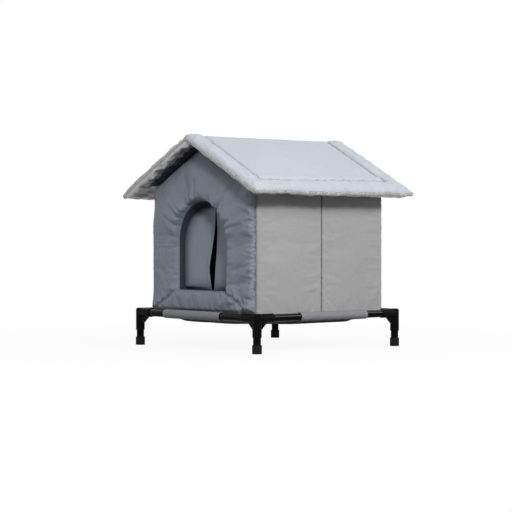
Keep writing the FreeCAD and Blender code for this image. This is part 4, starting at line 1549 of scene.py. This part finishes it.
def finish_cad_nodes():
    """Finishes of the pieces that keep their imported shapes; those without a name here are foam."""
    for name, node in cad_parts.items():
        finish, slot = packed_finishes.get(name.split("_")[0], (board_foam, "foam"))
        node.data.materials.clear()
        node.data.materials.append(finish)


make_front_pad()
make_door_reveal()
make_front_lining()
make_walls()
make_rear_wall()
make_floor()
make_flap("left_flap", -1, left_edge_shares, left_swell_shares, left_curl_shares, 2.0)
make_flap("right_flap", 1, right_edge_shares, right_swell_shares, right_curl_shares, 6.0)
make_flap_header()
make_roof()
make_sling()
for rail, (along, inward, seed) in rails.items():
    make_sleeve(rail, Vector(along), Vector(inward), seed)
finish_cad_nodes()
make_tapes()

# Camera
view_azimuth = 0.8623566
view_pitch = 0.0127293
view_distance = 4.178264
view_right = -0.0261875
view_up = 0.2179513
back = Vector((
    math.sin(view_azimuth) * math.cos(view_pitch),
    -math.cos(view_azimuth) * math.cos(view_pitch),
    math.sin(view_pitch),
))
rightward = (-back).cross(Vector((0, 0, 1))).normalized()
lens = bpy.data.cameras.new("camera")
lens.sensor_width = 36.0
lens.lens = 120.34
camera = placed("camera", lens)
camera.location = back * view_distance + rightward * view_right + Vector((0, 0, view_up))
camera.rotation_euler = back.to_track_quat("Z", "Y").to_euler()
scene.camera = camera

# Floor, light and background
scene.view_settings.view_transform = "Standard"
floor_reach = 6.0
fade_start = 0.4
fade_width = 0.8
floor_shadow_share = 0.08
floor_corners = [(x * floor_reach, y * floor_reach, 0) for x, y in ((-1, -1), (1, -1), (1, 1), (-1, 1))]
floor_mesh = plain_mesh("studio_floor", floor_corners, [(0, 1, 2, 3)])
studio_floor = placed("studio_floor", floor_mesh)


def seen_directly(start):
    """1 for rays from the camera, straight or by way of a gloss or a clear piece."""
    path = start.node("ShaderNodeLightPath")
    mirrored = path.math("MAXIMUM", path.out("Is Glossy Ray"), path.out("Is Transmission Ray"))
    return path.math("MAXIMUM", path, mirrored)


paper, start = new_finish("studio_paper")
matte = start.node("ShaderNodeBsdfDiffuse", None, {"Color": (0.15, 0.15, 0.15, 1.0)})
pale = start.node("ShaderNodeBsdfDiffuse", None, {"Color": (0.9, 0.9, 0.9, 1.0)})
glow = start.node("ShaderNodeEmission", None, {"Color": (1, 1, 1, 1), "Strength": 1.0})
place = start.node("ShaderNodeTexCoord", None, None, 3)
reach = start.node("ShaderNodeVectorMath", {"operation": "LENGTH"}, {0: place}, 1)
fade = start.math("MINIMUM", (reach - fade_start) / fade_width, 1.0)
fade = start.math("MAXIMUM", fade, 0.0)
glowing = fade * floor_shadow_share + (1 - floor_shadow_share)
lit = start.node("ShaderNodeMixShader", None, {0: glowing, 1: pale, 2: glow})
surface = start.node("ShaderNodeMixShader", None, {0: seen_directly(start), 1: matte, 2: lit})
start.node("ShaderNodeOutputMaterial", None, {"Surface": surface})
floor_mesh.materials.append(paper)

world = bpy.data.worlds.new("studio")
scene.world = world
world.use_nodes = True
world.node_tree.nodes.clear()
start = Wire(world.node_tree)
ambient = start.node("ShaderNodeBackground", None, {"Color": (1, 1, 1, 1), "Strength": 0.3})
white = start.node("ShaderNodeBackground", None, {"Color": (1, 1, 1, 1), "Strength": 1.0})
surface = start.node("ShaderNodeMixShader", None, {0: seen_directly(start), 1: ambient, 2: white})
start.node("ShaderNodeOutputWorld", None, {"Surface": surface})

# Each lamp's place, width and power
lamp_aim = Vector((0, 0, 0.25))
studio_lamps = {
    "key": ((2.7, -0.2, 1.9), 1.0, 14.0),
    "top": ((0.2, 0.3, 3.0), 0.7, 9.0),
    "front": ((2.6, -1.7, 1.6), 0.5, 54.0),
    "side": ((2.0, 2.2, 1.7), 0.7, 20.0),
    "fill": ((-1.8, -2.0, 0.3), 0.9, 6.0),
}
for name, (place, size, power) in studio_lamps.items():
    lamp = bpy.data.lights.new(name, "AREA")
    lamp.shape = "DISK"
    lamp.size = size
    lamp.energy = power
    holder = placed(name, lamp)
    holder.location = place
    holder.rotation_euler = (Vector(place) - lamp_aim).to_track_quat("Z", "Y").to_euler()
